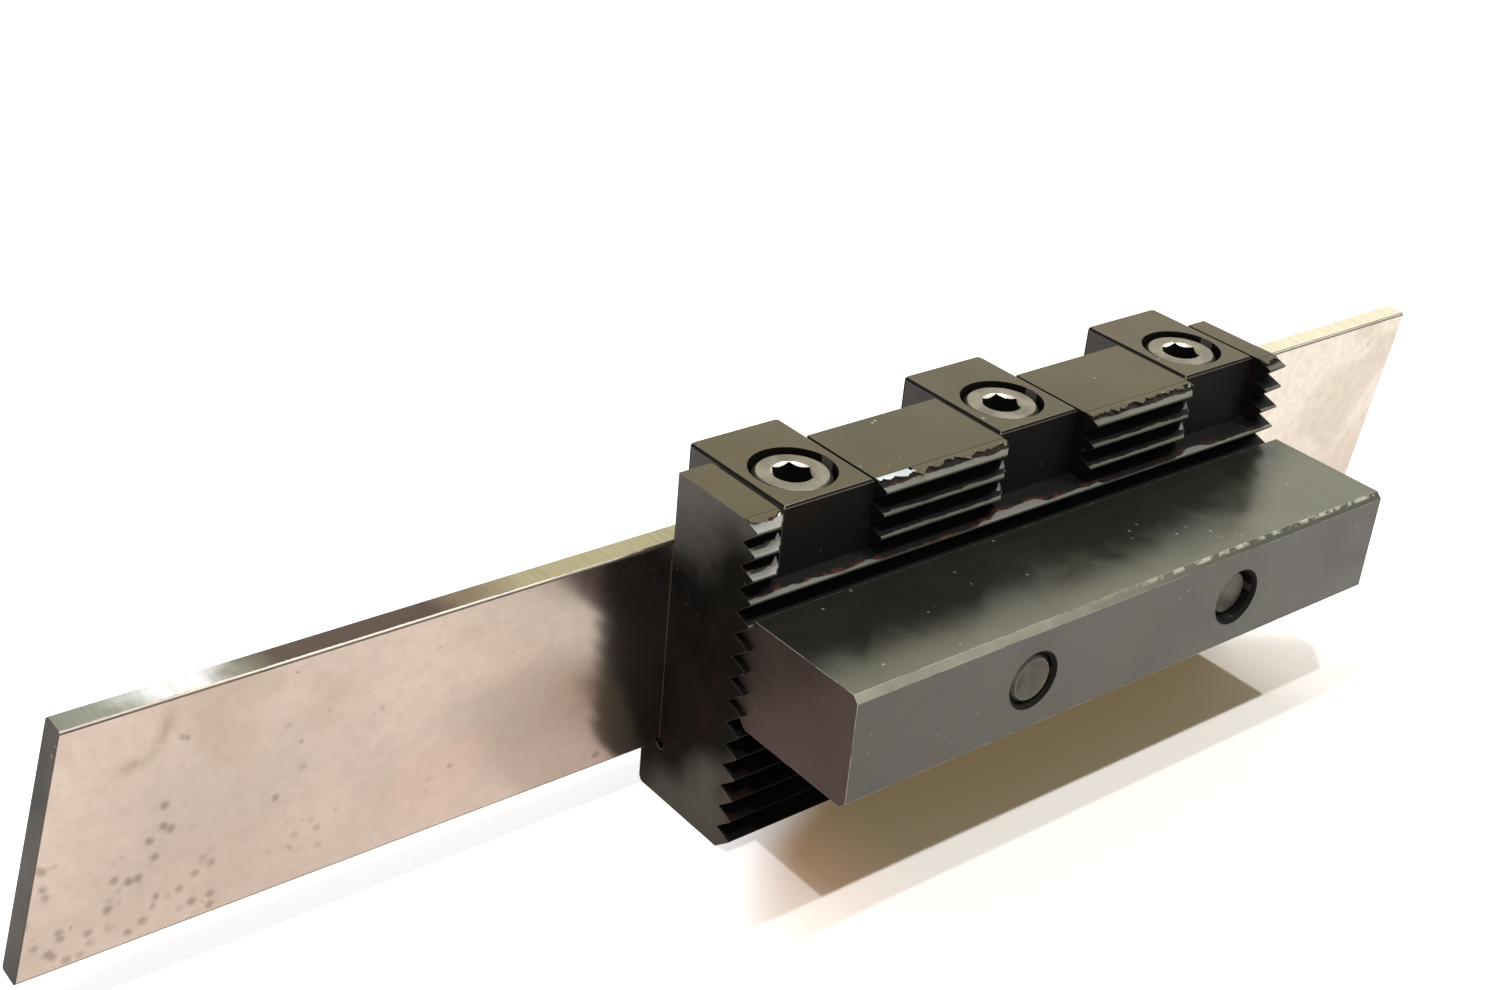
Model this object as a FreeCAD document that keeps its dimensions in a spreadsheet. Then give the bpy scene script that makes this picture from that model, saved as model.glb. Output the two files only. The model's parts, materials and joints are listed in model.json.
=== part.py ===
import FreeCAD, Part
import math
import os
import Sketcher

# Parting blade holder for a lathe: a serrated block with a blade seat on its rear face, three jaws that
# press the blade down onto a ledge, and a serrated shank whose height is set tooth by tooth.
# Frame: +X along the blade, -Y towards the shank, +Z up. The origin lies on the base, in the plane of
# the blade seat, halfway along the block. Millimetres.

doc = FreeCAD.newDocument("parting_blade_holder")

# Driving dimensions: name, value, what it is.
SIZES = [
    ("body_length", 80.8, "length of the block along the blade"),
    ("body_depth", 13.0, "from the tooth tips to the blade seat"),
    ("tooth_pitch", 2.68, "from one serration to the next"),
    ("tooth_depth", 2.1, "from the flat tooth tip to the root"),
    ("tooth_rise", 0.75, "height of the flank above a sharp tip"),
    ("tip_flat", 0.2, "flat left on each tooth tip"),
    ("tooth_end_chamfer", 1.3, "chamfer on the serrations at the left wall of each jaw slot"),
    ("ledge_height", 6.8, "from the base to the ledge under the blade"),
    ("ledge_depth", 3.1, "how far the ledge stands out from the seat"),
    ("ledge_radius", 0.8, "round on the ledge's lower rear edge"),
    ("relief_radius", 0.6, "relief groove in the corner of seat and ledge"),
    ("blade_height", 25.4, "blade, top edge to bottom edge"),
    ("blade_thickness", 3.0, "blade, side to side"),
    ("blade_length", 190.0, "blade, along its top edge"),
    ("blade_overhang", 64.9, "top edge beyond the block's left end"),
    ("left_end_angle", 13.5, "slant of the blade's left end, degrees"),
    ("right_end_angle", 10.7, "slant of the blade's right end, degrees"),
    ("blade_edge", 0.25, "broken edges of the blade"),
    ("jaw_width", 12.0, "jaw, along the blade"),
    ("jaw_depth", 16.0, "jaw, front to rear"),
    ("jaw_height", 8.0, "jaw, above the blade's top edge"),
    ("jaw_bite", 0.1, "slot's floor below the blade's top edge, so that the jaw grips the blade"),
    ("jaw_play_left", 0.6, "gap between jaw and slot, left side"),
    ("jaw_play_right", 0.1, "gap between jaw and slot, right side"),
    ("jaw_round", 0.7, "round on the jaw's rear upright edges"),
    ("jaw_edge", 0.25, "broken top edges of the jaw"),
    ("jaw_inset_one", 10.8, "middle of the first jaw from the block's left end"),
    ("jaw_offset_two", 1.6, "middle of the second jaw to the right of the block's middle"),
    ("jaw_inset_three", 9.0, "middle of the third jaw from the block's right end"),
    ("jaw_setback_one", 1.9, "first jaw's front face behind the tooth tips"),
    ("jaw_setback_two", 3.1, "second jaw's front face behind the tooth tips"),
    ("jaw_setback_three", 2.8, "third jaw's front face behind the tooth tips"),
    ("jaw_screw_inset", 6.0, "jaw's front face to its screw"),
    ("lip_drop", 3.0, "how far the jaw's lip reaches down behind the blade"),
    ("lip_gap", 0.1, "gap between lip and blade"),
    ("lip_lead", 0.5, "how much the lip opens towards its lower end"),
    ("clamp_thread", 5.0, "clamp screw, outside of the thread"),
    ("clamp_head", 8.5, "clamp screw, head diameter"),
    ("clamp_head_height", 5.0, "clamp screw, head height"),
    ("clamp_hex", 4.0, "clamp screw, socket across flats"),
    ("clamp_hex_depth", 2.5, "clamp screw, socket depth"),
    ("clamp_length", 16.0, "clamp screw, length under the head"),
    ("clamp_recess", 0.4, "head below the jaw's top face"),
    ("clamp_counterbore", 9.5, "counterbore in the jaw"),
    ("clamp_hole", 5.6, "clearance hole through the jaw"),
    ("clamp_tap_depth", 15.0, "tapped hole below the slot's floor"),
    ("thread_gap", 0.05, "radial gap between a screw and its tapped hole"),
    ("head_chamfer", 0.4, "chamfer on the rim of a screw head"),
    ("tip_chamfer", 0.6, "chamfer on the end of a screw"),
    ("socket_flare", 0.3, "chamfer round the mouth of a hex socket"),
    ("shank_length", 81.5, "shank, along the blade"),
    ("shank_inset", 0.7, "shank's left end from the block's left end"),
    ("shank_height", 13.2, "shank, base to top"),
    ("shank_depth", 15.9, "shank, from the block's tooth tips to its front"),
    ("shank_chamfer", 0.7, "chamfers on the shank's long front edges"),
    ("shank_step", 9, "root that the shank's base is level with, counted down from the top"),
    ("mesh_gap", 0.05, "gap between the meshing serrations"),
    ("root_gap", 0.15, "gap between a shank tooth and the root it enters"),
    ("shank_screw_place", -14.85, "first shank screw from the block's middle"),
    ("shank_screw_pitch", 32.2, "from one shank screw to the other"),
    ("shank_thread", 6.0, "shank screw, outside of the thread"),
    ("shank_head", 10.0, "shank screw, head diameter"),
    ("shank_head_height", 6.0, "shank screw, head height"),
    ("shank_hex", 5.0, "shank screw, socket across flats"),
    ("shank_hex_depth", 3.0, "shank screw, socket depth"),
    ("shank_screw_length_one", 22.1, "first shank screw, under the head"),
    ("shank_screw_length_two", 21.2, "second shank screw, under the head"),
    ("shank_countersink", 0.4, "countersink round the tapped holes in the shank's front"),
    ("track_width", 6.6, "slot in the block for a shank screw's thread"),
    ("track_head_width", 11.0, "counterbored slot for a shank screw's head"),
    ("track_head_depth", 6.6, "depth of that counterbore from the seat"),
    ("track_up", 1, "teeth that the shank can be moved up"),
    ("track_down", 2, "teeth that the shank can be moved down"),
]

sheet = doc.addObject("Spreadsheet::Sheet", "sizes")
for row, (alias, value, note) in enumerate(SIZES, start=1):
    sheet.set("A%d" % row, alias)
    sheet.set("B%d" % row, str(value))
    sheet.set("C%d" % row, note)
    sheet.setAlias("B%d" % row, alias)
doc.recompute()


CELLS = {alias: "sizes." + alias for alias, _value, _note in SIZES}


def size(words):
    """Turns the names in a formula into references to the sheet."""
    return "(%s)" % words.format(**CELLS)


# How far a cut runs past the face where it starts or ends.
OVERCUT = 1.0

# Places worked out from the driving dimensions.
LEFT_END = size("-{body_length} / 2")
TIP_PLANE = size("-{body_depth}")
ROOT_PLANE = size("{tooth_depth} - {body_depth}")
TIP_CUT = size("{tip_flat} * {tooth_depth} / ({tooth_pitch} - {tip_flat})")
BLADE_TOP = size("{ledge_height} + {blade_height}")
BODY_TOP = "(%s + %s)" % (BLADE_TOP, size("{jaw_height}"))
SLOT_FLOOR = "(%s - %s)" % (BLADE_TOP, size("{jaw_bite}"))
SHANK_BASE = "(%s - %s)" % (BODY_TOP, size("{shank_step} * {tooth_pitch}"))
SHANK_FRONT = size("-{body_depth} - {shank_depth}")
SHANK_SCREW_LEVEL = "(%s + %s)" % (SHANK_BASE, size("{shank_height} / 2"))
SHANK_SCREW_PLACES = [size("{shank_screw_place}"), size("{shank_screw_place} + {shank_screw_pitch}")]
CLAMP_SEAT = size("{jaw_height} - {clamp_recess} - {clamp_head_height}")
JAW_PLACES = [
    size("{jaw_inset_one} - {body_length} / 2"),
    size("{jaw_offset_two}"),
    size("{body_length} / 2 - {jaw_inset_three}"),
]
CLAMP_SCREW_LINES = [
    size("{jaw_setback_one} + {jaw_screw_inset} - {body_depth}"),
    size("{jaw_setback_two} + {jaw_screw_inset} - {body_depth}"),
    size("{jaw_setback_three} + {jaw_screw_inset} - {body_depth}"),
]


# Modelling helpers.
def new_body(label):
    body = doc.addObject("PartDesign::Body", label)
    body.Label = label
    return body


def origin_part(body, role):
    return next(item for item in body.Origin.OriginFeatures if item.Role == role)


def new_sketch(body, role, name, lift="0"):
    """A sketch on one of the body's own origin planes, raised along the plane's normal."""
    sketch = body.newObject("Sketcher::SketchObject", name)
    sketch.AttachmentSupport = [(origin_part(body, role), "")]
    sketch.MapMode = "FlatFace"
    sketch.setExpression("AttachmentOffset.Base.z", lift)
    return sketch


def formula_value(formula):
    return float(sheet.evalExpression(formula))


def past(formula):
    """A little more than the formula, so that a cut leaves no skin."""
    return "(%s + %s)" % (formula, OVERCUT)


def fix_point(sketch, geometry, point, across, up):
    """Places one point of the sketch by two formulas."""
    for kind, formula in (("DistanceX", across), ("DistanceY", up)):
        place = formula_value(formula)
        index = sketch.addConstraint(Sketcher.Constraint(kind, -1, 1, geometry, point, place))
        sketch.setExpression("Constraints[%d]" % index, formula)


def draw_outline(sketch, corners):
    """A closed outline of straight lines through corners that are given as formulas."""
    places = [FreeCAD.Vector(formula_value(a), formula_value(b), 0) for a, b in corners]
    count = len(corners)
    lines = [sketch.addGeometry(Part.LineSegment(places[i], places[(i + 1) % count])) for i in range(count)]
    for i in range(count):
        sketch.addConstraint(Sketcher.Constraint("Coincident", lines[i], 2, lines[(i + 1) % count], 1))
    for line, (across, up) in zip(lines, corners):
        fix_point(sketch, line, 1, across, up)


def draw_box(sketch, left, low, right, high):
    draw_outline(sketch, [(left, low), (right, low), (right, high), (left, high)])


def draw_circle(sketch, across, up, diameter):
    centre = FreeCAD.Vector(formula_value(across), formula_value(up), 0)
    radius = formula_value(diameter) / 2
    circle = sketch.addGeometry(Part.Circle(centre, FreeCAD.Vector(0, 0, 1), radius))
    fix_point(sketch, circle, 3, across, up)
    index = sketch.addConstraint(Sketcher.Constraint("Diameter", circle, 2 * radius))
    sketch.setExpression("Constraints[%d]" % index, diameter)


def draw_upright_slot(sketch, across, low, high, width):
    """A slot with round ends, its two end centres one above the other."""
    x, y_low, y_high = formula_value(across), formula_value(low), formula_value(high)
    radius = formula_value(width) / 2
    axis = FreeCAD.Vector(0, 0, 1)
    top_circle = Part.Circle(FreeCAD.Vector(x, y_high, 0), axis, radius)
    low_circle = Part.Circle(FreeCAD.Vector(x, y_low, 0), axis, radius)
    top = sketch.addGeometry(Part.ArcOfCircle(top_circle, 0, math.pi))
    left = sketch.addGeometry(
        Part.LineSegment(FreeCAD.Vector(x - radius, y_high, 0), FreeCAD.Vector(x - radius, y_low, 0)))
    bottom = sketch.addGeometry(Part.ArcOfCircle(low_circle, math.pi, 2 * math.pi))
    right = sketch.addGeometry(
        Part.LineSegment(FreeCAD.Vector(x + radius, y_low, 0), FreeCAD.Vector(x + radius, y_high, 0)))
    for first, second in ((top, left), (left, bottom), (bottom, right), (right, top)):
        sketch.addConstraint(Sketcher.Constraint("Tangent", first, 2, second, 1))
    sketch.addConstraint(Sketcher.Constraint("Equal", top, bottom))
    index = sketch.addConstraint(Sketcher.Constraint("Diameter", top, 2 * radius))
    sketch.setExpression("Constraints[%d]" % index, width)
    fix_point(sketch, top, 3, across, high)
    fix_point(sketch, bottom, 3, across, low)


def regular_hexagon(flats):
    """Corners of a hexagon round the origin, from its size across flats."""
    corners = []
    for i in range(6):
        turn = 60 * i
        corners.append(("%s / sqrt(3) * cos(%d)" % (flats, turn), "%s / sqrt(3) * sin(%d)" % (flats, turn)))
    return corners


def volume(body):
    doc.recompute()
    return body.Shape.Volume


def pad(body, sketch, name, length, reverse=False):
    feature = body.newObject("PartDesign::Pad", name)
    feature.Profile = sketch
    feature.setExpression("Length", length)
    feature.Reversed = reverse
    doc.recompute()
    return feature


def pocket(body, sketch, name, depth, reverse=False):
    """Cuts a sketch into the body and makes sure that it removed material."""
    before = volume(body)
    feature = body.newObject("PartDesign::Pocket", name)
    feature.Profile = sketch
    feature.setExpression("Length", depth)
    feature.Reversed = reverse
    if volume(body) >= before:
        raise RuntimeError("%s cuts nothing" % name)
    return feature


def repeat(body, feature, name, role, span, count, reverse=False):
    pattern = body.newObject("PartDesign::LinearPattern", name)
    pattern.Originals = [feature]
    pattern.Direction = (origin_part(body, role), [""])
    pattern.Reversed = reverse
    pattern.setExpression("Length", span)
    pattern.setExpression("Occurrences", count)
    body.Tip = pattern
    doc.recompute()
    return pattern


def edges_where(body, test):
    """Names of the straight edges whose middle and direction pass a test."""
    names = []
    for number, edge in enumerate(body.Shape.Edges, start=1):
        if not isinstance(edge.Curve, Part.Line):
            continue
        start, end = edge.Vertexes[0].Point, edge.Vertexes[-1].Point
        if test((start + end) * 0.5, (end - start).normalize()):
            names.append("Edge%d" % number)
    return names


def circles_where(body, test):
    """Names of the round edges whose circle passes a test."""
    return [
        "Edge%d" % number for number, edge in enumerate(body.Shape.Edges, start=1)
        if isinstance(edge.Curve, Part.Circle) and test(edge.Curve)
    ]


def dress(body, kind, name, names, amount):
    """Adds a fillet or a chamfer to the named edges of the body's last feature."""
    base = body.Tip
    feature = body.newObject("PartDesign::" + kind, name)
    feature.Base = (base, names)
    feature.setExpression("Radius" if kind == "Fillet" else "Size", amount)
    doc.recompute()
    return feature


def near(value, formula, slack=0.01):
    return abs(value - formula_value(formula)) < slack


# Holder body: the block with its serrated front, blade seat, ledge and jaw slots.
def make_holder_body():
    body = new_body("holder_body")
    section = new_sketch(body, "YZ_Plane", "body_section", LEFT_END)
    draw_outline(section, [
        (TIP_PLANE, "0"),
        (size("{ledge_depth}"), "0"),
        (size("{ledge_depth}"), size("{ledge_height}")),
        ("0", size("{ledge_height}")),
        ("0", BODY_TOP),
        (TIP_PLANE, BODY_TOP),
    ])
    pad(body, section, "block", size("{body_length}"))

    ledge_edge = edges_where(
        body, lambda middle, way: abs(way.x) > 0.99 and near(middle.y, size("{ledge_depth}"))
        and near(middle.z, "0"))
    dress(body, "Fillet", "ledge_round", ledge_edge, size("{ledge_radius}"))

    groove = new_sketch(body, "YZ_Plane", "tooth_groove", LEFT_END)
    groove_front = "(%s - %s)" % (TIP_PLANE, TIP_CUT)
    draw_outline(groove, [
        (ROOT_PLANE, BODY_TOP),
        (groove_front, "(%s + %s)" % (BODY_TOP, size("{tooth_pitch} - {tooth_rise}"))),
        (groove_front, "(%s - %s)" % (BODY_TOP, size("{tooth_rise}"))),
    ])
    first = pocket(body, groove, "top_groove", size("{body_length}"), reverse=True)
    steps = "ceil(%s / %s)" % (BODY_TOP, size("{tooth_pitch}"))
    repeat(body, first, "serrations", "Z_Axis", "(%s * %s)" % (steps, size("{tooth_pitch}")),
           "(%s + 1)" % steps, reverse=True)

    relief = new_sketch(body, "YZ_Plane", "relief_circle", LEFT_END)
    draw_circle(relief, size("-{relief_radius} / 3"), size("{ledge_height}"), size("2 * {relief_radius}"))
    pocket(body, relief, "corner_relief", size("{body_length}"), reverse=True)

    slots = new_sketch(body, "XZ_Plane", "slot_outlines", past(size("{body_depth}")))
    ends = new_sketch(body, "XY_Plane", "tooth_end_outlines", past(BODY_TOP))
    ends_front = "(%s - %s)" % (TIP_PLANE, OVERCUT)
    for place in JAW_PLACES:
        left_wall = "(%s - %s)" % (place, size("{jaw_width} / 2 + {jaw_play_left}"))
        draw_box(slots, left_wall, SLOT_FLOOR,
                 "(%s + %s)" % (place, size("{jaw_width} / 2 + {jaw_play_right}")), past(BODY_TOP))
        draw_outline(ends, [
            ("(%s - %s)" % (left_wall, past(size("{tooth_end_chamfer}"))), ends_front),
            (past(left_wall), ends_front),
            (past(left_wall), past("(%s + %s)" % (TIP_PLANE, size("{tooth_end_chamfer}")))),
        ])
    pocket(body, slots, "jaw_slots", past(past(size("{body_depth} + {ledge_depth}"))))
    pocket(body, ends, "tooth_end_chamfers", past("(%s - %s)" % (BODY_TOP, SLOT_FLOOR)))

    taps = new_sketch(body, "XY_Plane", "tap_circles", SLOT_FLOOR)
    for place, screw_line in zip(JAW_PLACES, CLAMP_SCREW_LINES):
        draw_circle(taps, place, screw_line, size("{clamp_thread} + 2 * {thread_gap}"))
    pocket(body, taps, "tapped_holes", size("{clamp_tap_depth}"))

    for name, width, depth in (("head_tracks", "{track_head_width}", size("{track_head_depth}")),
                               ("screw_tracks", "{track_width}", past(size("{body_depth}")))):
        tracks = new_sketch(body, "XZ_Plane", name + "_outline")
        for place in SHANK_SCREW_PLACES:
            draw_upright_slot(tracks, place,
                              "(%s - %s)" % (SHANK_SCREW_LEVEL, size("{track_down} * {tooth_pitch}")),
                              "(%s + %s)" % (SHANK_SCREW_LEVEL, size("{track_up} * {tooth_pitch}")),
                              size(width))
        pocket(body, tracks, name, depth, reverse=True)
    return body


# Blade: a flat bar of tool steel with slanted ends, standing on the ledge against the seat.
def make_blade():
    body = new_body("blade")
    left = "(%s - %s)" % (LEFT_END, size("{blade_overhang}"))
    right = "(%s + %s)" % (left, size("{blade_length}"))
    side = new_sketch(body, "XZ_Plane", "blade_side")
    draw_outline(side, [
        ("(%s - %s)" % (left, size("{blade_height} * tan({left_end_angle})")), size("{ledge_height}")),
        ("(%s - %s)" % (right, size("{blade_height} * tan({right_end_angle})")), size("{ledge_height}")),
        (right, BLADE_TOP),
        (left, BLADE_TOP),
    ])
    pad(body, side, "bar", size("{blade_thickness}"), reverse=True)
    long_edges = edges_where(body, lambda middle, way: abs(way.x) > 0.99)
    dress(body, "Chamfer", "broken_edges", long_edges, size("{blade_edge}"))
    return body


# Jaw: a block in its slot, with a lip that reaches down behind the blade.
# It is drawn round its screw, with its underside at height nought, and then put in its slot.
def make_jaw(number, place, screw_line):
    body = new_body("jaw_%d" % number)
    front = size("-{jaw_screw_inset}")
    rear = size("{jaw_depth} - {jaw_screw_inset}")
    top = size("{jaw_height}")
    notch = "(%s - %s)" % (size("{blade_thickness} + {lip_gap}"), screw_line)
    side = new_sketch(body, "YZ_Plane", "jaw_side", size("-{jaw_width} / 2"))
    draw_outline(side, [
        (front, "0"),
        (notch, "0"),
        ("(%s + %s)" % (notch, size("{lip_lead}")), size("-{lip_drop}")),
        (rear, size("-{lip_drop}")),
        (rear, top),
        (front, top),
    ])
    pad(body, side, "jaw_block", size("{jaw_width}"))
    uprights = edges_where(body, lambda middle, way: abs(way.z) > 0.99 and near(middle.y, rear))
    dress(body, "Fillet", "rear_rounds", uprights, size("{jaw_round}"))

    bore = new_sketch(body, "XY_Plane", "screw_hole", top)
    draw_circle(bore, "0", "0", size("{clamp_hole}"))
    pocket(body, bore, "through_hole", past(top))
    recess = new_sketch(body, "XY_Plane", "head_recess", top)
    draw_circle(recess, "0", "0", size("{clamp_counterbore}"))
    pocket(body, recess, "counterbore", size("{clamp_recess} + {clamp_head_height}"))

    top_edges = edges_where(body, lambda middle, way: abs(way.z) < 0.01 and near(middle.z, top))
    dress(body, "Chamfer", "broken_top_edges", top_edges, size("{jaw_edge}"))

    body.setExpression("Placement.Base.x", place)
    body.setExpression("Placement.Base.y", screw_line)
    body.setExpression("Placement.Base.z", BLADE_TOP)
    return body


# Socket head cap screw: head downwards from its seat at height nought, thread below.
def make_cap_screw(label, kind, length):
    body = new_body(label)
    head = size("{%s_head} / 2" % kind)
    stem = size("{%s_thread} / 2" % kind)
    height = size("{%s_head_height}" % kind)
    chamfer = size("{tip_chamfer}")
    corner = size("{%s_hex} / sqrt(3)" % kind)
    flare = size("{socket_flare}")
    profile = new_sketch(body, "XZ_Plane", "screw_profile")
    draw_outline(profile, [
        ("0", "-" + length),
        ("(%s - %s)" % (stem, chamfer), "-" + length),
        (stem, "(%s - %s)" % (chamfer, length)),
        (stem, "0"),
        (head, "0"),
        (head, height),
        (corner, height),
        ("(%s - %s)" % (corner, flare), "(%s - %s)" % (height, flare)),
        ("0", "(%s - %s)" % (height, flare)),
    ])
    turned = body.newObject("PartDesign::Revolution", "turned_blank")
    turned.Profile = profile
    turned.ReferenceAxis = (profile, ["V_Axis"])
    turned.Angle = 360.0
    doc.recompute()

    rim = circles_where(
        body, lambda circle: near(circle.Center.z, height) and near(circle.Radius, head))
    dress(body, "Chamfer", "rim_chamfer", rim, size("{head_chamfer}"))

    socket = new_sketch(body, "XY_Plane", "socket_hexagon", height)
    draw_outline(socket, regular_hexagon(size("{%s_hex}" % kind)))
    pocket(body, socket, "hex_socket", size("{%s_hex_depth}" % kind))
    return body


def make_clamp_screw(number, place, screw_line):
    body = make_cap_screw("clamp_screw_%d" % number, "clamp", size("{clamp_length}"))
    body.setExpression("Placement.Base.x", place)
    body.setExpression("Placement.Base.y", screw_line)
    body.setExpression("Placement.Base.z", "(%s + %s)" % (BLADE_TOP, CLAMP_SEAT))
    return body


# Shank screws lie along Y with their heads in the tracks behind the blade.
def make_shank_screw(number, place, length):
    body = make_cap_screw("shank_screw_%d" % number, "shank", size(length))
    body.Placement.Rotation = FreeCAD.Rotation(FreeCAD.Vector(1, 0, 0), -90)
    body.setExpression("Placement.Base.x", place)
    body.setExpression("Placement.Base.y", size("-{track_head_depth}"))
    body.setExpression("Placement.Base.z", SHANK_SCREW_LEVEL)
    return body


# Shank: a bar whose rear serrations mesh with the block's. Its two rear corners are cut back, so that
# its base and top end in front of the block's tooth tips.
def make_shank():
    body = new_body("shank")
    left = "(%s + %s)" % (LEFT_END, size("{shank_inset}"))
    rear = "(%s - %s)" % (ROOT_PLANE, size("{root_gap}"))
    face_end = "(%s - %s)" % (TIP_PLANE, size("{mesh_gap}"))
    corner = "(%s - %s)" % (rear, face_end)
    top = "(%s + %s)" % (SHANK_BASE, size("{shank_height}"))
    section = new_sketch(body, "YZ_Plane", "shank_section", left)
    draw_outline(section, [
        (SHANK_FRONT, SHANK_BASE),
        (face_end, SHANK_BASE),
        (rear, "(%s + %s)" % (SHANK_BASE, corner)),
        (rear, "(%s - %s)" % (top, corner)),
        (face_end, top),
        (SHANK_FRONT, top),
    ])
    pad(body, section, "bar", size("{shank_length}"))

    front_edges = edges_where(body, lambda middle, way: abs(way.x) > 0.99 and near(middle.y, SHANK_FRONT))
    dress(body, "Chamfer", "front_chamfers", front_edges, size("{shank_chamfer}"))

    groove = new_sketch(body, "YZ_Plane", "tooth_groove", left)
    groove_low = SHANK_BASE
    groove_high = "(%s + %s)" % (SHANK_BASE, size("{tooth_pitch}"))
    draw_outline(groove, [
        ("(%s - %s - %s)" % (TIP_PLANE, TIP_CUT, size("{mesh_gap}")),
         "(%s - %s)" % (groove_high, size("{tooth_rise}"))),
        ("(%s - %s)" % (ROOT_PLANE, size("{mesh_gap}")), groove_low),
        (past(ROOT_PLANE), groove_low),
        (past(ROOT_PLANE), groove_high),
        ("(%s - %s)" % (ROOT_PLANE, size("{mesh_gap}")), groove_high),
    ])
    first = pocket(body, groove, "first_groove", size("{shank_length}"), reverse=True)
    count = size("ceil({shank_height} / {tooth_pitch})")
    repeat(body, first, "serrations", "Z_Axis", "((%s - 1) * %s)" % (count, size("{tooth_pitch}")), count)

    holes = new_sketch(body, "XZ_Plane", "tapped_circles")
    for place in SHANK_SCREW_PLACES:
        draw_circle(holes, place, SHANK_SCREW_LEVEL, size("{shank_thread} + 2 * {thread_gap}"))
    pocket(body, holes, "tapped_holes", past(size("{body_depth} + {shank_depth}")), reverse=True)
    mouths = circles_where(body, lambda circle: near(circle.Center.y, SHANK_FRONT))
    dress(body, "Chamfer", "countersinks", mouths, size("{shank_countersink}"))
    return body


pieces = [make_holder_body(), make_blade(), make_shank()]
for jaw_number, (jaw_place, jaw_line) in enumerate(zip(JAW_PLACES, CLAMP_SCREW_LINES), start=1):
    pieces.append(make_jaw(jaw_number, jaw_place, jaw_line))
    pieces.append(make_clamp_screw(jaw_number, jaw_place, jaw_line))
pieces.append(make_shank_screw(1, SHANK_SCREW_PLACES[0], "{shank_screw_length_one}"))
pieces.append(make_shank_screw(2, SHANK_SCREW_PLACES[1], "{shank_screw_length_two}"))

doc.recompute()
for item in doc.Objects:
    if "Invalid" in item.State or "Error" in item.State:
        raise RuntimeError("%s failed: %s" % (item.Label, item.State))

os.makedirs("parts", exist_ok=True)
for piece in pieces:
    shape = piece.Shape
    if shape.isNull() or not shape.isValid() or len(shape.Solids) != 1:
        raise RuntimeError("%s has no single valid solid" % piece.Label)
    shape.exportStep(os.path.join("parts", piece.Label + ".step"))
    box = shape.BoundBox
    print("%-16s volume %9.1f  x %7.2f %7.2f  y %7.2f %7.2f  z %6.2f %6.2f" % (
        piece.Label, shape.Volume, box.XMin, box.XMax, box.YMin, box.YMax, box.ZMin, box.ZMax))
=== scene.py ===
# %% [markdown]
# A parting blade holder from a small lathe: a blackened steel block with serrations on its front, three
# screwed jaws that press a flat parting blade down onto a ledge, and a serrated shank that the tool post
# grips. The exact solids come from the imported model, in metres, and this file gives them worn edges,
# torn burrs, stains and light. Nothing is moved: every piece stays where the model has it.

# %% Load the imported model
import json
import math

import bpy
from mathutils import Matrix, Vector

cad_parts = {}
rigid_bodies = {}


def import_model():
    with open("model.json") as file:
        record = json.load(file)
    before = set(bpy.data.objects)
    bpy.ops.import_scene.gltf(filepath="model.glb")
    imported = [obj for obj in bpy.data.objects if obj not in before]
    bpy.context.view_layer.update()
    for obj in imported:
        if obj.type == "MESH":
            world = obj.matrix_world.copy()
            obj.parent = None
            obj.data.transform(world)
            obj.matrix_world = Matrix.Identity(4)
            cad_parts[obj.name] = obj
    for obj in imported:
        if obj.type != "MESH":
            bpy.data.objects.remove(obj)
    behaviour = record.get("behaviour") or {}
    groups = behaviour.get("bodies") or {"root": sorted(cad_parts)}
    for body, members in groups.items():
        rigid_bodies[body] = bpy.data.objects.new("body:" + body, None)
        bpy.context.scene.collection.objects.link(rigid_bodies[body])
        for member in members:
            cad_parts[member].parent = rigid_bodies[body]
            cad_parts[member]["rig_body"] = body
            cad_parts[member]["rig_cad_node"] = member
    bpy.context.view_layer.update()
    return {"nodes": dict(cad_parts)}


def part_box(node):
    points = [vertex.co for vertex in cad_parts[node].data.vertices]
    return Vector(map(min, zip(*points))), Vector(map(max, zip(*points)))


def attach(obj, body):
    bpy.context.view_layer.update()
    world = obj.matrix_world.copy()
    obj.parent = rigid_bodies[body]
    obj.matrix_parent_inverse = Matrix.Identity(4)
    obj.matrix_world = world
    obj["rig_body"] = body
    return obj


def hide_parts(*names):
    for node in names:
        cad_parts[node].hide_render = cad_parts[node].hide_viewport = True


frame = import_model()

print("pieces:", sorted(frame["nodes"]))

# %% [markdown]
# The camera comes first. It stands in front of the holder and to its left, and looks down at it. The
# direction, the slight roll and the lens were found by fitting the corners of the holder, so they are plain
# numbers here. A camera looks along its own -Z, so it is first tipped up from the floor, then turned about
# the upright axis.

# %% Camera
MM = 0.001
CAMERA_PLACE = Vector((-155.27, -144.65, 138.24)) * MM
CAMERA_TURN = math.radians(-40.744)
CAMERA_ELEVATION = math.radians(28.417)
CAMERA_ROLL = math.radians(5.362)
LENS_LENGTH = 49.6
SENSOR_WIDTH = 36

camera_turn = (Matrix.Rotation(CAMERA_TURN, 4, "Z")
               @ Matrix.Rotation(math.radians(90) - CAMERA_ELEVATION, 4, "X")
               @ Matrix.Rotation(CAMERA_ROLL, 4, "Z"))
lens = bpy.data.cameras.new("camera")
lens.sensor_width = SENSOR_WIDTH
lens.lens = LENS_LENGTH
camera = bpy.data.objects.new("camera", lens)
camera.matrix_world = Matrix.Translation(CAMERA_PLACE) @ camera_turn
bpy.context.scene.collection.objects.link(camera)
bpy.context.scene.camera = camera
bpy.context.scene.view_settings.view_transform = "Standard"
print("camera at", [round(v, 4) for v in CAMERA_PLACE])

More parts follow.
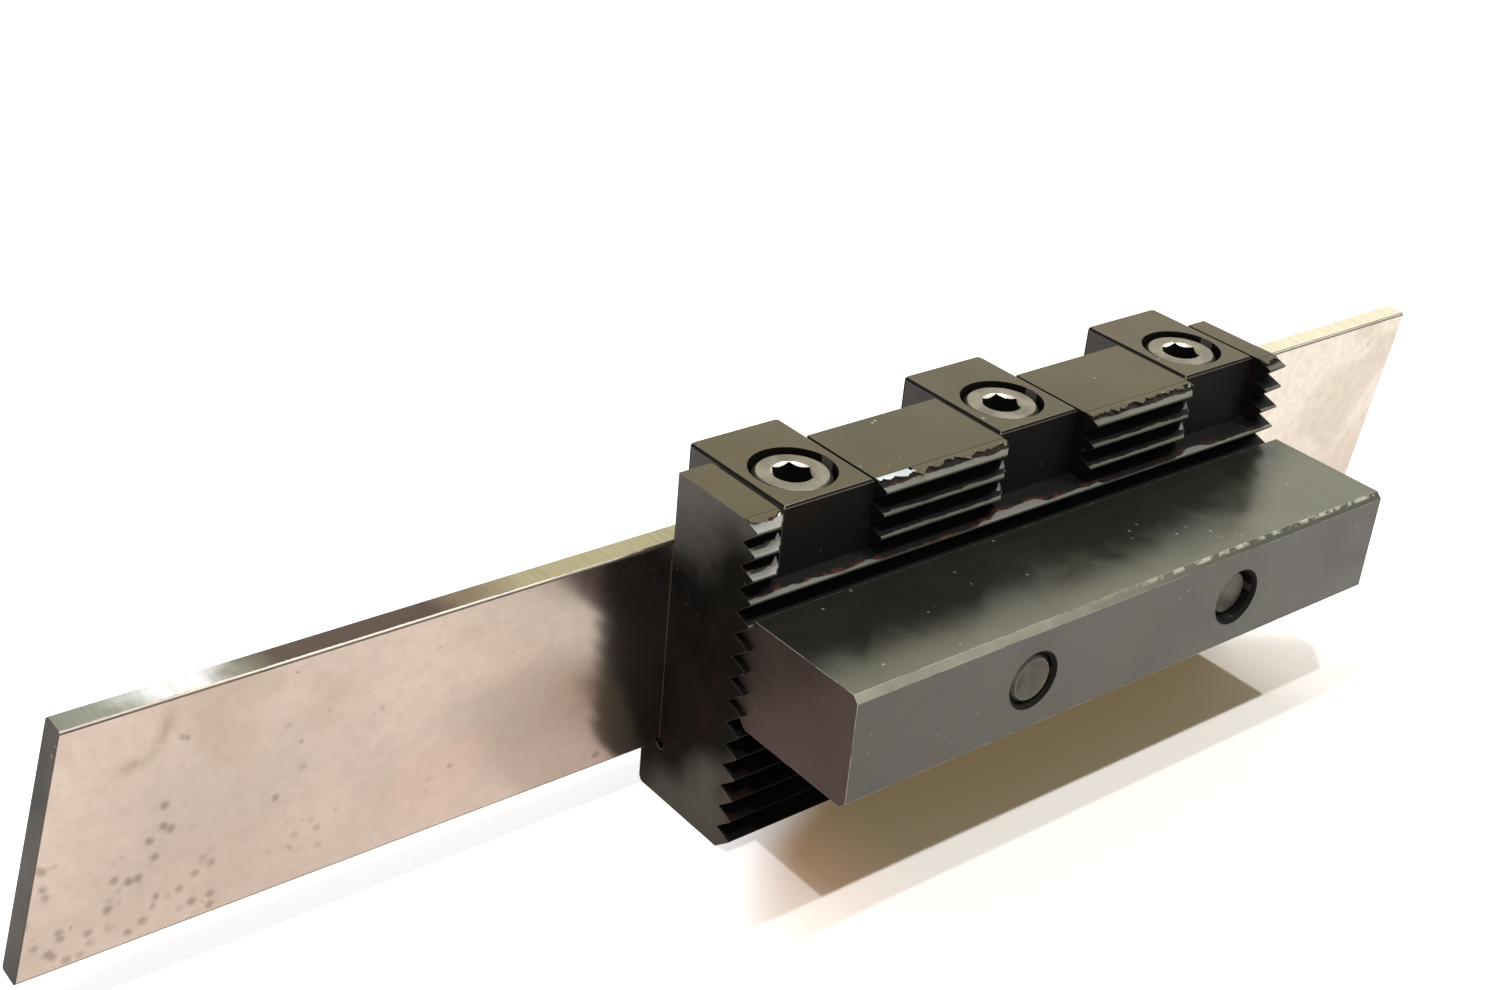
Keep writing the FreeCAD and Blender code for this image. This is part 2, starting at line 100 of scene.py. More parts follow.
# %% [markdown]
# Node materials are built by a few small helpers. The first ones add a node and set its values, calculate,
# blend two colours and start a material. They take sockets or plain values, and return the socket that
# holds the result, so that one step can be written inside the next.

# %% Helpers for node trees
def add_node(tree, kind, **settings):
    """A new node. Settings are its own properties, or its input sockets by name with _ for a space."""
    node = tree.nodes.new(kind)
    for name, value in settings.items():
        if hasattr(node, name):
            setattr(node, name, value)
        else:
            node.inputs[name.replace("_", " ")].default_value = value
    return node


def calculate(tree, operation, first, second):
    """One step of arithmetic between values or sockets."""
    node = add_node(tree, "ShaderNodeMath", operation=operation)
    for socket, value in zip(node.inputs, (first, second)):
        if isinstance(value, bpy.types.NodeSocket):
            tree.links.new(value, socket)
        else:
            socket.default_value = value
    return node.outputs[0]


def multiply(tree, first, second):
    return calculate(tree, "MULTIPLY", first, second)


def blend_colours(tree, factor, first, second):
    """Mixes two colours, each a socket or an (r, g, b), by a factor."""
    node = add_node(tree, "ShaderNodeMix", data_type="RGBA")
    for socket, value in ((node.inputs[0], factor), (node.inputs[6], first), (node.inputs[7], second)):
        if isinstance(value, bpy.types.NodeSocket):
            tree.links.new(value, socket)
        elif isinstance(value, tuple):
            socket.default_value = (*value, 1.0)
        else:
            socket.default_value = value
    return node.outputs[2]


def new_material(name):
    material = bpy.data.materials.new(name)
    material.use_nodes = True
    return material, material.node_tree, material.node_tree.nodes["Principled BSDF"]


print("helpers for nodes ready")

# %% [markdown]
# The next helpers make patterns. A pattern starts from the place on the object, a noise turns that into
# patches, a stretch turns the patches into a mask, and a bump lets a value stand out as relief.

# %% Helpers for patterns
def split_place(tree):
    """The object's own coordinates, whole and as X, Y and Z."""
    place = add_node(tree, "ShaderNodeTexCoord").outputs["Object"]
    apart = add_node(tree, "ShaderNodeSeparateXYZ")
    tree.links.new(place, apart.inputs[0])
    return place, apart.outputs["X"], apart.outputs["Y"], apart.outputs["Z"]


def noise(tree, place, scale, detail=3.0, roughness=0.5, distortion=0.0):
    """Grey noise between 0 and 1 at a place, scale in patches per metre."""
    node = add_node(tree, "ShaderNodeTexNoise", Scale=scale, Detail=detail, Roughness=roughness,
                    Distortion=distortion)
    tree.links.new(place, node.inputs["Vector"])
    return node.outputs["Fac"]


def stretch(tree, value, low, high, to_low=0.0, to_high=1.0, smooth=False):
    """Maps the range low..high of a value to another range, and holds it there."""
    node = add_node(tree, "ShaderNodeMapRange", From_Min=low, From_Max=high, To_Min=to_low, To_Max=to_high)
    if smooth:
        node.interpolation_type = "SMOOTHSTEP"
    tree.links.new(value, node.inputs["Value"])
    return node.outputs["Result"]


def between(tree, value, low, high, soft):
    """1 inside a range and 0 outside it, with soft ends."""
    rising = stretch(tree, value, low - soft, low + soft)
    falling = stretch(tree, value, high - soft, high + soft, 1.0, 0.0)
    return multiply(tree, rising, falling)


def add_bump(tree, shader, height, strength, depth):
    """Lets a value stand out as relief, without changing the shape."""
    bump = add_node(tree, "ShaderNodeBump", Strength=strength, Distance=depth)
    tree.links.new(height, bump.inputs["Height"])
    tree.links.new(bump.outputs["Normal"], shader.inputs["Normal"])


print("helpers for patterns ready")

# %% [markdown]
# Machined steel is never quite even: its surface carries a fine grain from the cutter and a broad, soft
# mottling. All the finishes share that, so it is one node group. It puts out a fine grain, a broad mottle
# and small specks, and each material uses them in its own strengths.

# %% Shared group: metal surface
def make_surface_group():
    group = bpy.data.node_groups.new("metal_surface", "ShaderNodeTree")
    for name, usual in (("Grain Scale", 3000.0), ("Mottle Scale", 90.0), ("Speck Scale", 700.0)):
        socket = group.interface.new_socket(name, in_out="INPUT", socket_type="NodeSocketFloat")
        socket.default_value = usual
    for name in ("Grain", "Mottle", "Specks"):
        group.interface.new_socket(name, in_out="OUTPUT", socket_type="NodeSocketFloat")
    start = add_node(group, "NodeGroupInput")
    end = add_node(group, "NodeGroupOutput")
    place = add_node(group, "ShaderNodeTexCoord").outputs["Object"]

    grain = add_node(group, "ShaderNodeTexNoise", Detail=2.0)
    mottle = add_node(group, "ShaderNodeTexNoise", Detail=5.0, Distortion=0.4)
    dots = add_node(group, "ShaderNodeTexVoronoi")
    for node, socket in ((grain, "Grain Scale"), (mottle, "Mottle Scale"), (dots, "Speck Scale")):
        group.links.new(place, node.inputs["Vector"])
        group.links.new(start.outputs[socket], node.inputs["Scale"])
    few = calculate(group, "GREATER_THAN", noise(group, place, 260.0, detail=1.0), 0.66)
    small = stretch(group, dots.outputs["Distance"], 0.10, 0.22, 1.0, 0.0)
    group.links.new(grain.outputs["Fac"], end.inputs["Grain"])
    group.links.new(stretch(group, mottle.outputs["Fac"], 0.3, 0.7, smooth=True), end.inputs["Mottle"])
    group.links.new(multiply(group, few, small), end.inputs["Specks"])
    return group


surface_group = make_surface_group()


def place_surface(tree, grain_scale=2600.0, mottle_scale=85.0, speck_scale=900.0):
    """Puts the shared group in a material with its own scales, and returns its outputs."""
    node = add_node(tree, "ShaderNodeGroup", node_tree=surface_group)
    node.inputs["Grain Scale"].default_value = grain_scale
    node.inputs["Mottle Scale"].default_value = mottle_scale
    node.inputs["Speck Scale"].default_value = speck_scale
    return node.outputs


print("shared group:", [item.name for item in surface_group.interface.items_tree])

# %% [markdown]
# Black oxide is a thin dark skin on steel, satin rather than painted. It is almost black by itself but
# mirrors a part of what stands in front of it, so faces that look at the pale room turn grey or olive and
# faces that look at other dark metal go near black. The material does the same: a very dark base, and an
# index of refraction that sets how much it mirrors, most on the handled front of the shank and least on
# the dull ends of the block. Mottling moves the base between brown, olive and purple and the gloss between
# soft and softer, and grain feeds a shallow bump. A finish may also change colour towards the top or foot
# of a face: the block's ends turn paler at both, which is painted light, and the shank's end turns redder
# at its foot.

# %% Finish: black oxide
DUST_COLOUR = (0.42, 0.41, 0.34)
GRAIN_DEPTH = 0.02 * MM


def make_oxide(name, shades, mirror, tint, gloss, specks=0.5, stain_colour=(0.035, 0.012, 0.010), zones=()):
    """Shades: dark, warm, cool. Mirror: index of refraction. Tint: the mirror's colour. Gloss: lowest and
    highest roughness. Zones: the level where the colour is usual, the level where it has changed, and its
    colour there. A level is the height and half of the place in depth."""
    material, tree, shader = new_material(name)
    surface = place_surface(tree)
    place, _, depth, height = split_place(tree)
    drift = stretch(tree, noise(tree, place, 34.0, detail=2.0), 0.35, 0.65, smooth=True)
    shade = blend_colours(tree, drift, shades[1], shades[2])
    shade = blend_colours(tree, surface["Mottle"], shade, shades[0])
    wander = stretch(tree, noise(tree, place, 70.0, detail=4.0), 0.3, 0.7, -0.004, 0.004)
    half_depth = multiply(tree, depth, 0.5)
    level = calculate(tree, "ADD", height, calculate(tree, "ADD", wander, half_depth))
    for usual, changed, colour in zones:
        shade = blend_colours(tree, stretch(tree, level, usual, changed, smooth=True), shade, colour)
    stain = stretch(tree, noise(tree, place, 52.0, detail=3.0, distortion=0.6), 0.56, 0.72, smooth=True)
    shade = blend_colours(tree, multiply(tree, stain, 0.7), shade, stain_colour)
    dust = multiply(tree, surface["Specks"], specks)
    shade = blend_colours(tree, dust, shade, DUST_COLOUR)
    tree.links.new(shade, shader.inputs["Base Color"])
    rough = stretch(tree, surface["Mottle"], 0.0, 1.0, gloss[0], gloss[1])
    tree.links.new(rough, shader.inputs["Roughness"])
    shader.inputs["IOR"].default_value = mirror
    shader.inputs["Specular Tint"].default_value = (*tint, 1.0)
    add_bump(tree, shader, surface["Grain"], 0.25, GRAIN_DEPTH)
    return material


# A copy of the oxide that mirrors little, used as painted shade: on faces in recesses, under the shank, in
# narrow joints and inside holes and sockets.
painted_shade_oxide = make_oxide("painted_shade_oxide",
                          ((0.006, 0.006, 0.006), (0.009, 0.008, 0.007), (0.007, 0.007, 0.006)),
                          1.17, (1.0, 0.95, 0.88), (0.5, 0.62), specks=0.1)
# The zones of the block's ends are painted light: a paler top and a paler foot.
end_oxide_and_sheen = make_oxide("end_oxide_and_sheen", ((0.002, 0.002, 0.002), (0.006, 0.004, 0.003), (0.004, 0.005, 0.003)),
                       1.14, (1.0, 0.95, 0.9), (0.5, 0.62), specks=0.1, stain_colour=(0.034, 0.009, 0.007),
                       zones=((0.027, 0.038, (0.175, 0.160, 0.149)), (0.009, 0.001, (0.125, 0.115, 0.094))))
shank_front_oxide = make_oxide("shank_front_oxide",
                               ((0.005, 0.005, 0.004), (0.016, 0.010, 0.010), (0.009, 0.013, 0.010)),
                               1.84, (1.0, 0.95, 0.86), (0.30, 0.42), specks=0.25,
                               stain_colour=(0.026, 0.013, 0.016))
shank_end_oxide = make_oxide("shank_end_oxide",
                             ((0.009, 0.007, 0.006), (0.020, 0.013, 0.011), (0.014, 0.011, 0.009)),
                             1.36, (1.0, 0.92, 0.86), (0.42, 0.55), specks=0.1,
                             stain_colour=(0.070, 0.030, 0.026),
                             zones=((0.018, 0.011, (0.075, 0.045, 0.039)),))
print("oxides:", sorted(m.name for m in bpy.data.materials if "oxide" in m.name))

# %% [markdown]
# Level faces are the ones that were handled and wiped, so their skin is polished to a dull brown-olive
# mirror of the pale room. They are built as a dark metal, because then the mirror itself can change colour
# from brown through olive to grey. The top of the shank is the most polished, since the tool post clamps
# it. Near the block it is painted darker and less metallic, a painted reflection of the dark block.

# %% Finish: polished tops
# The colour of the painted reflection of the block on the shank's top.
BLOCK_REFLECTION_COLOUR = (0.045, 0.043, 0.034)


def make_polished_top(name, shades, gloss, cloud_scale, bump_strength, block_reflection=None):
    """Shades: brown, olive, grey. Block reflection: how far forwards the painted reflection of the block
    thins out, and where it is gone.
    """
    material, tree, shader = new_material(name)
    surface = place_surface(tree)
    place, across, depth, _ = split_place(tree)
    drift = stretch(tree, noise(tree, place, 45.0, detail=3.0, distortion=0.5), 0.35, 0.65, smooth=True)
    shade = blend_colours(tree, drift, shades[0], shades[1])
    shade = blend_colours(tree, multiply(tree, surface["Mottle"], 0.7), shade, shades[2])
    cloud_noise = noise(tree, place, cloud_scale, detail=5.0, roughness=0.62, distortion=0.7)
    shader.inputs["Metallic"].default_value = 0.9
    # Painted reflection of the dark block: darker and less metallic towards the back of the shank's top.
    if block_reflection:
        wander = stretch(tree, cloud_noise, 0.3, 0.7, -0.0017, 0.0017)
        outwards = calculate(tree, "SUBTRACT", wander, depth)
        outwards = calculate(tree, "ADD", outwards, stretch(tree, across, 0.018, 0.042, 0.0, 0.010))
        clear_of_reflection = stretch(tree, outwards, block_reflection[0], block_reflection[1], smooth=True)
        shade = blend_colours(tree, clear_of_reflection, BLOCK_REFLECTION_COLOUR, shade)
        tree.links.new(stretch(tree, clear_of_reflection, 0.0, 1.0, 0.65, 0.95), shader.inputs["Metallic"])
    shade = blend_colours(tree, surface["Specks"], shade, (0.45, 0.44, 0.36))
    tree.links.new(shade, shader.inputs["Base Color"])
    tree.links.new(stretch(tree, cloud_noise, 0.3, 0.7, gloss[0], gloss[1]), shader.inputs["Roughness"])
    add_bump(tree, shader, surface["Grain"], bump_strength, GRAIN_DEPTH)
    return material


top_oxide = make_polished_top("top_oxide",
                              ((0.145, 0.106, 0.048), (0.140, 0.124, 0.059), (0.110, 0.096, 0.056)),
                              (0.28, 0.42), 90.0, 0.3)
shank_top_oxide = make_polished_top("shank_top_oxide",
                                    ((0.225, 0.212, 0.148), (0.225, 0.222, 0.155), (0.190, 0.187, 0.136)),
                                    (0.17, 0.30), 130.0, 0.2, block_reflection=(0.0198, 0.0288))
print("polished tops:", top_oxide.name, shank_top_oxide.name)

# %% [markdown]
# Where the skin has rubbed through on corners, rims and burrs, the steel shows as a pale olive grey with
# scraps of black left in it. One idea makes all of these finishes: bare metal and oxide mixed by a ragged
# noise, with more or less of the metal.

# %% Finish: worn edges
SCRAPS_OF_BLACK = (0.026, 0.023, 0.018)


def make_worn(name, bare, amount, patch_scale, gloss):
    """Bare steel where a noise is over a threshold, black oxide elsewhere."""
    material, tree, shader = new_material(name)
    surface = place_surface(tree)
    place = add_node(tree, "ShaderNodeTexCoord").outputs["Object"]
    patches = noise(tree, place, patch_scale, detail=4.0, roughness=0.65)
    mask = stretch(tree, patches, 0.62 - 0.35 * amount, 0.74 - 0.35 * amount)
    tint = blend_colours(tree, surface["Mottle"], bare, tuple(channel * 0.72 for channel in bare))
    tree.links.new(blend_colours(tree, mask, SCRAPS_OF_BLACK, tint), shader.inputs["Base Color"])
    tree.links.new(multiply(tree, mask, 0.75), shader.inputs["Metallic"])
    tree.links.new(stretch(tree, patches, 0.3, 0.7, gloss[1], gloss[0]), shader.inputs["Roughness"])
    shader.inputs["IOR"].default_value = 1.8
    add_bump(tree, shader, patches, 0.4, 0.03 * MM)
    return material


edge_wear = make_worn("edge_wear", (0.15, 0.135, 0.095), 0.75, 420.0, (0.32, 0.5))
shank_edge_wear = make_worn("shank_edge_wear", (0.62, 0.62, 0.50), 0.70, 330.0, (0.28, 0.5))
torn_rim = make_worn("torn_rim", (0.50, 0.46, 0.35), 0.55, 480.0, (0.35, 0.5))
burr_bright = make_worn("burr_bright", (0.78, 0.86, 0.86), 1.2, 500.0, (0.25, 0.4))
tip_facet = make_worn("tip_facet", (0.20, 0.20, 0.175), 0.95, 600.0, (0.35, 0.5))
print("worn finishes:", edge_wear.name, shank_edge_wear.name, torn_rim.name, burr_bright.name,
      tip_facet.name)

# %% [markdown]
# The long chamfer on the shank's top front corner is rubbed by the tool post. It is pale and smooth on the
# left and thins to dark olive on the right, where only crumbs of bare steel are left along its upper edge.

# %% Finish: the shank's chamfer
SHANK_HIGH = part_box("shank")[1]


def make_chamfer_wear():
    """Pale on the left, dark olive with crumbs of bare steel along the upper edge on the right."""
    material, tree, shader = new_material("chamfer_wear")
    surface = place_surface(tree, 2600.0, 120.0, 1300.0)
    place, across, _, height = split_place(tree)
    patches = noise(tree, place, 420.0, detail=4.0, roughness=0.65)
    rightwards = stretch(tree, across, -0.020, 0.022, smooth=True)
    shade = blend_colours(tree, rightwards, (0.27, 0.26, 0.20), (0.085, 0.084, 0.062))
    dull = multiply(tree, surface["Mottle"], 0.3)
    shade = blend_colours(tree, dull, shade, (0.08, 0.075, 0.06))
    crumbs = multiply(tree, stretch(tree, patches, 0.45, 0.55), stretch(tree, rightwards, 0.2, 0.8))
    upper_edge = stretch(tree, height, SHANK_HIGH.z - 0.35 * MM, SHANK_HIGH.z - 0.22 * MM)
    crumbs = multiply(tree, crumbs, upper_edge)
    shade = blend_colours(tree, crumbs, shade, (0.46, 0.45, 0.35))
    tree.links.new(shade, shader.inputs["Base Color"])
    shader.inputs["Metallic"].default_value = 0.75
    tree.links.new(stretch(tree, patches, 0.3, 0.7, 0.5, 0.32), shader.inputs["Roughness"])
    add_bump(tree, shader, patches, 0.4, 0.03 * MM)
    return material


chamfer_wear = make_chamfer_wear()
print("chamfer finish:", chamfer_wear.name)

# %% [markdown]
# The serrations are rubbed where the shank slid over them. Below the lands only the tips show bare steel,
# and the black behind them on the flanks is partly painted shade from the tooth above. The first tooth is
# bare nearly up to the torn lip, with a black band under the lip that is partly painted shade. The fourth
# is pale further back where the jaw slots open above it and narrower under the lands, which is painted
# light and shade, with rusty crumbs behind the pale part. How far the pale band reaches back from the tip
# is read from the object's own coordinates, and a noise makes its edge wander.

# %% Finish: serrations with rubbed tips
# Painted shade as well as oxide: the black on the flanks behind the bare steel.
FLANK_BLACK_AND_SHADE = (0.004, 0.004, 0.0035)
RUST_COLOUR = (0.085, 0.024, 0.012)
RUST_BAND = 0.6 * MM
# Painted light and shade along the fourth tooth: paler further back under the open slots, narrower under
# the lands.
SLOT_LIGHT_STRETCHES = ((-40.4 * MM, -29.0 * MM, 0.15 * MM), (-23.5 * MM, -9.0 * MM, -0.5 * MM),
                    (-6.5 * MM, 1.0 * MM, 0.6 * MM), (10.5 * MM, 22.5 * MM, -0.5 * MM),
                    (24.8 * MM, 28.5 * MM, 0.3 * MM))


def make_serration_finish(name, reach_back, wander, bare_colour, rust=0.0, light_ranges=()):
    """Reach back: how far in front of the blade's seat the bare steel starts. Light ranges: from, to, and
    how much further back the pale band reaches there; positive values are painted light, negative ones
    painted shade."""
    material, tree, shader = new_material(name)
    surface = place_surface(tree)
    place, across, depth, _ = split_place(tree)
    ragged = stretch(tree, noise(tree, place, 300.0, detail=4.0, roughness=0.6), 0.3, 0.7, -wander, wander)
    front = calculate(tree, "SUBTRACT", ragged, depth)
    for low, high, extra in light_ranges:
        light_shift = multiply(tree, between(tree, across, low, high, 0.7 * MM), extra)
        front = calculate(tree, "ADD", front, light_shift)
    bare = stretch(tree, front, reach_back, reach_back + 0.12 * MM)
    rusty = stretch(tree, front, reach_back - RUST_BAND, reach_back - 0.1 * MM)
    crumbs = stretch(tree, noise(tree, place, 900.0, detail=2.0), 0.48, 0.62)
    rusty = multiply(tree, multiply(tree, rusty, crumbs), rust)
    shade = blend_colours(tree, rusty, FLANK_BLACK_AND_SHADE, RUST_COLOUR)
    worn = blend_colours(tree, surface["Mottle"], bare_colour, tuple(c * 0.65 for c in bare_colour))
    tree.links.new(blend_colours(tree, bare, shade, worn), shader.inputs["Base Color"])
    tree.links.new(multiply(tree, bare, 0.6), shader.inputs["Metallic"])
    tree.links.new(stretch(tree, surface["Mottle"], 0.0, 1.0, 0.45, 0.60), shader.inputs["Roughness"])
    shader.inputs["IOR"].default_value = 1.22
    add_bump(tree, shader, ragged, 0.4, 0.04 * MM)
    return material


tip_wear_and_shade = make_serration_finish("tip_wear_and_shade", 12.68 * MM, 0.18 * MM, (0.15, 0.15, 0.125))
flank_wear_and_shade = make_serration_finish("flank_wear_and_shade", 12.28 * MM, 0.2 * MM, (0.19, 0.19, 0.16), rust=0.5)
slot_flank_wear_and_light = make_serration_finish("slot_flank_wear_and_light", 12.62 * MM, 0.22 * MM, (0.19, 0.19, 0.165),
                                        rust=0.8, light_ranges=SLOT_LIGHT_STRETCHES)
left_flank_wear_and_shade = make_serration_finish("left_flank_wear_and_shade", 11.8 * MM, 0.4 * MM, (0.34, 0.34, 0.31),
                                        rust=0.5)
print("serration finishes:", tip_wear_and_shade.name, flank_wear_and_shade.name, slot_flank_wear_and_light.name, left_flank_wear_and_shade.name)

# %% [markdown]
# The blade has lain about in a workshop: it carries cloudy stains, a crescent-shaped one near its left end,
# and small soft corrosion spots that gather towards its lower left end. Each is a mask of its own. The
# spots are the cores of the cells of a random pattern, kept only where a broad noise and the distance from
# the left end allow.

# %% Stains and spots of the blade
CRESCENT_MIDDLE = (-0.0994, 0.0, 0.0302)


def cloudy_tint(tree, place, along, height):
    """The steel's colour under clouds of tarnish, lighter right of the block and darker towards its foot,
    and the clouds themselves.
    """
    clouds = stretch(tree, noise(tree, place, 30.0, detail=6.0, roughness=0.6, distortion=0.5),
                     0.36, 0.66, smooth=True)
    tint = blend_colours(tree, clouds, (0.59, 0.515, 0.46), (0.475, 0.415, 0.37))
    rightness = stretch(tree, along, 0.030, 0.050)
    tint = blend_colours(tree, rightness, tint, (0.81, 0.735, 0.65))
    blotches = stretch(tree, noise(tree, place, 62.0, detail=5.0, distortion=0.8), 0.58, 0.68)
    tint = blend_colours(tree, multiply(tree, blotches, 0.30), tint, (0.40, 0.32, 0.24))
    blush = stretch(tree, noise(tree, place, 40.0, detail=3.0, distortion=0.4), 0.60, 0.66)
    tint = blend_colours(tree, multiply(tree, blush, 0.25), tint, (0.72, 0.50, 0.42))
    toward_foot = stretch(tree, height, 0.022, 0.009, 0.0, 0.35, smooth=True)
    tint = blend_colours(tree, toward_foot, tint, (0.40, 0.335, 0.290))
    fuzz = stretch(tree, noise(tree, place, 700.0, detail=4.0, roughness=0.7), 0.40, 0.70, 0.0, 0.30)
    return blend_colours(tree, fuzz, tint, (0.36, 0.31, 0.27)), clouds


def crescent_stain(tree, place, along):
    """Half a ring, where a drop has dried near the left end."""
    from_stain = add_node(tree, "ShaderNodeVectorMath", operation="DISTANCE")
    tree.links.new(place, from_stain.inputs[0])
    from_stain.inputs[1].default_value = CRESCENT_MIDDLE
    crescent = between(tree, from_stain.outputs["Value"], 3.0 * MM, 4.5 * MM, 0.6 * MM)
    crescent = multiply(tree, crescent, stretch(tree, along, -0.1010, -0.0990))
    patchy = stretch(tree, noise(tree, place, 300.0), 0.35, 0.6, 0.0, 0.5)
    return multiply(tree, crescent, patchy)


def corrosion_spots(tree, place, along, height):
    """Soft spots, most of them near the lower left end."""
    leftness = stretch(tree, along, -0.060, -0.104)
    lowness = stretch(tree, height, 0.026, 0.012)
    corner = multiply(tree, leftness, lowness)
    where = calculate(tree, "ADD", multiply(tree, corner, 0.19), multiply(tree, leftness, 0.04))
    where = calculate(tree, "ADD", where, multiply(tree, lowness, 0.05))
    spread = calculate(tree, "ADD", noise(tree, place, 150.0, detail=2.0), where)
    kept = stretch(tree, spread, 0.68, 0.74)
    cells = add_node(tree, "ShaderNodeTexVoronoi", Scale=560.0, Randomness=1.0)
    tree.links.new(place, cells.inputs["Vector"])
    cores = stretch(tree, cells.outputs["Distance"], 0.08, 0.44, 1.0, 0.0, smooth=True)
    return multiply(tree, cores, kept)


print("crescent at", round(CRESCENT_MIDDLE[0] / MM, 1), "mm along the blade")

# %% [markdown]
# The blade is bright ground tool steel, so its finish is a true metal. It is warm in colour because it
# mirrors the pale floor, rougher where it is spotted, and a noise drawn out along the blade gives it faint
# grinding marks.

# %% Finish: blade steel
def make_blade_steel():
    material, tree, shader = new_material("blade_steel")
    place, along, _, height = split_place(tree)
    surface = place_surface(tree, 2400.0, 46.0, 520.0)
    tint, clouds = cloudy_tint(tree, place, along, height)
    tint = blend_colours(tree, crescent_stain(tree, place, along), tint, (0.24, 0.20, 0.14))
    spots = corrosion_spots(tree, place, along, height)
    tint = blend_colours(tree, multiply(tree, spots, 0.5), tint, (0.17, 0.14, 0.11))
    fine = multiply(tree, surface["Specks"], 0.45)
    tint = blend_colours(tree, fine, tint, (0.2, 0.16, 0.12))
    tree.links.new(tint, shader.inputs["Base Color"])
    shader.inputs["Metallic"].default_value = 1.0
    rough = calculate(tree, "ADD", stretch(tree, clouds, 0.0, 1.0, 0.22, 0.29), multiply(tree, spots, 0.3))
    near_block = stretch(tree, along, -0.058, -0.051, 1.0, 0.66, smooth=True)
    rough = multiply(tree, rough, near_block)
    tree.links.new(rough, shader.inputs["Roughness"])
    stretched = add_node(tree, "ShaderNodeMapping", Scale=(60.0, 4000.0, 4000.0))
    tree.links.new(place, stretched.inputs["Vector"])
    grind = noise(tree, stretched.outputs["Vector"], 1.0, detail=2.0)
    relief = calculate(tree, "SUBTRACT", grind, multiply(tree, spots, 1.5))
    add_bump(tree, shader, relief, 0.10, 0.02 * MM)
    return material


blade_steel = make_blade_steel()
blade_edge = make_worn("blade_edge", (0.17, 0.14, 0.10), 0.8, 320.0, (0.25, 0.45))
print("blade finishes:", blade_steel.name, blade_edge.name)

# %% [markdown]
# The blade's upper edge was ground across, and it has tarnished unevenly: olive at its left end, dark brown
# further on, and straw yellow near the block and beyond it. A painted highlight, a near-white glint, sits
# in the olive. A colour ramp along the blade holds those tones and the glint, and a noise stretched across
# the edge gives the grinding lines. The slanted ends are dark, fine-grained scale.

# %% Finishes: blade edge and blade ends
RAMP_START = -0.11
RAMP_END = 0.09


def make_blade_top():
    material, tree, shader = new_material("blade_top_tarnish_and_glint")
    place, along, _, _ = split_place(tree)
    ramp = add_node(tree, "ShaderNodeValToRGB")
    wander = stretch(tree, noise(tree, place, 120.0, detail=3.0), 0.3, 0.7, -0.002, 0.002)
    wandering = calculate(tree, "ADD", along, wander)
    tree.links.new(stretch(tree, wandering, RAMP_START, RAMP_END), ramp.inputs["Fac"])
    # The two near-white stops, at -96 and -92 mm, are a painted highlight on the edge.
    tones_and_glint = ((-0.106, (0.22, 0.23, 0.18)), (-0.099, (0.36, 0.37, 0.29)), (-0.096, (1.0, 1.0, 0.97)),
             (-0.092, (1.0, 1.0, 0.95)), (-0.0895, (0.27, 0.25, 0.18)), (-0.085, (0.13, 0.093, 0.068)),
             (-0.069, (0.11, 0.074, 0.056)), (-0.064, (0.27, 0.20, 0.12)), (-0.058, (0.46, 0.41, 0.23)),
             (0.030, (0.60, 0.54, 0.32)), (0.060, (0.95, 0.88, 0.62)))
    elements = ramp.color_ramp.elements
    while len(elements) < len(tones_and_glint):
        elements.new(0.5)
    for element, (x, colour) in zip(elements, tones_and_glint):
        element.position = (x - RAMP_START) / (RAMP_END - RAMP_START)
        element.color = (*colour, 1.0)
    crosswise = add_node(tree, "ShaderNodeMapping", Scale=(1800.0, 150.0, 150.0))
    tree.links.new(place, crosswise.inputs["Vector"])
    lines = noise(tree, crosswise.outputs["Vector"], 1.0, detail=3.0)
    shade = blend_colours(tree, stretch(tree, lines, 0.5, 0.75, 0.0, 0.30), ramp.outputs["Color"],
                          (0.16, 0.13, 0.09))
    tree.links.new(shade, shader.inputs["Base Color"])
    shader.inputs["Metallic"].default_value = 1.0
    tree.links.new(stretch(tree, lines, 0.3, 0.7, 0.25, 0.40), shader.inputs["Roughness"])
    add_bump(tree, shader, lines, 0.3, 0.03 * MM)
    return material


blade_top = make_blade_top()
blade_end = make_oxide("blade_end_scale",
                       ((0.020, 0.020, 0.018), (0.045, 0.046, 0.040), (0.032, 0.036, 0.031)),
                       1.5, (1.0, 1.0, 1.0), (0.45, 0.6), specks=0.8, stain_colour=(0.09, 0.09, 0.08))
print("blade edge finishes:", blade_top.name, blade_end.name)

# %% [markdown]
# The socket screws are harder and brighter than the jaws: a satin silver grey with an olive cast. Their
# sockets are painted black inside as shade, and the rear of each socket's rim gets a painted highlight.

# %% Finish: screw steel
def make_screw_steel(name, shades):
    material, tree, shader = new_material(name)
    surface = place_surface(tree, 3200.0, 260.0, 1500.0)
    tint = blend_colours(tree, surface["Mottle"], shades[0], shades[1])
    tint = blend_colours(tree, surface["Specks"], tint, (0.06, 0.055, 0.05))
    tree.links.new(tint, shader.inputs["Base Color"])
    shader.inputs["Metallic"].default_value = 0.85
    rough = stretch(tree, surface["Grain"], 0.3, 0.7, 0.34, 0.48)
    tree.links.new(rough, shader.inputs["Roughness"])
    add_bump(tree, shader, surface["Mottle"], 0.35, 0.02 * MM)
    return material


screw_steel = make_screw_steel("screw_steel", ((0.36, 0.32, 0.23), (0.20, 0.175, 0.125)))
screw_tip_steel = make_screw_steel("screw_tip_steel", ((0.13, 0.12, 0.095), (0.05, 0.046, 0.038)))
screw_edge = make_worn("screw_edge", (0.30, 0.27, 0.19), 1.0, 900.0, (0.28, 0.45))
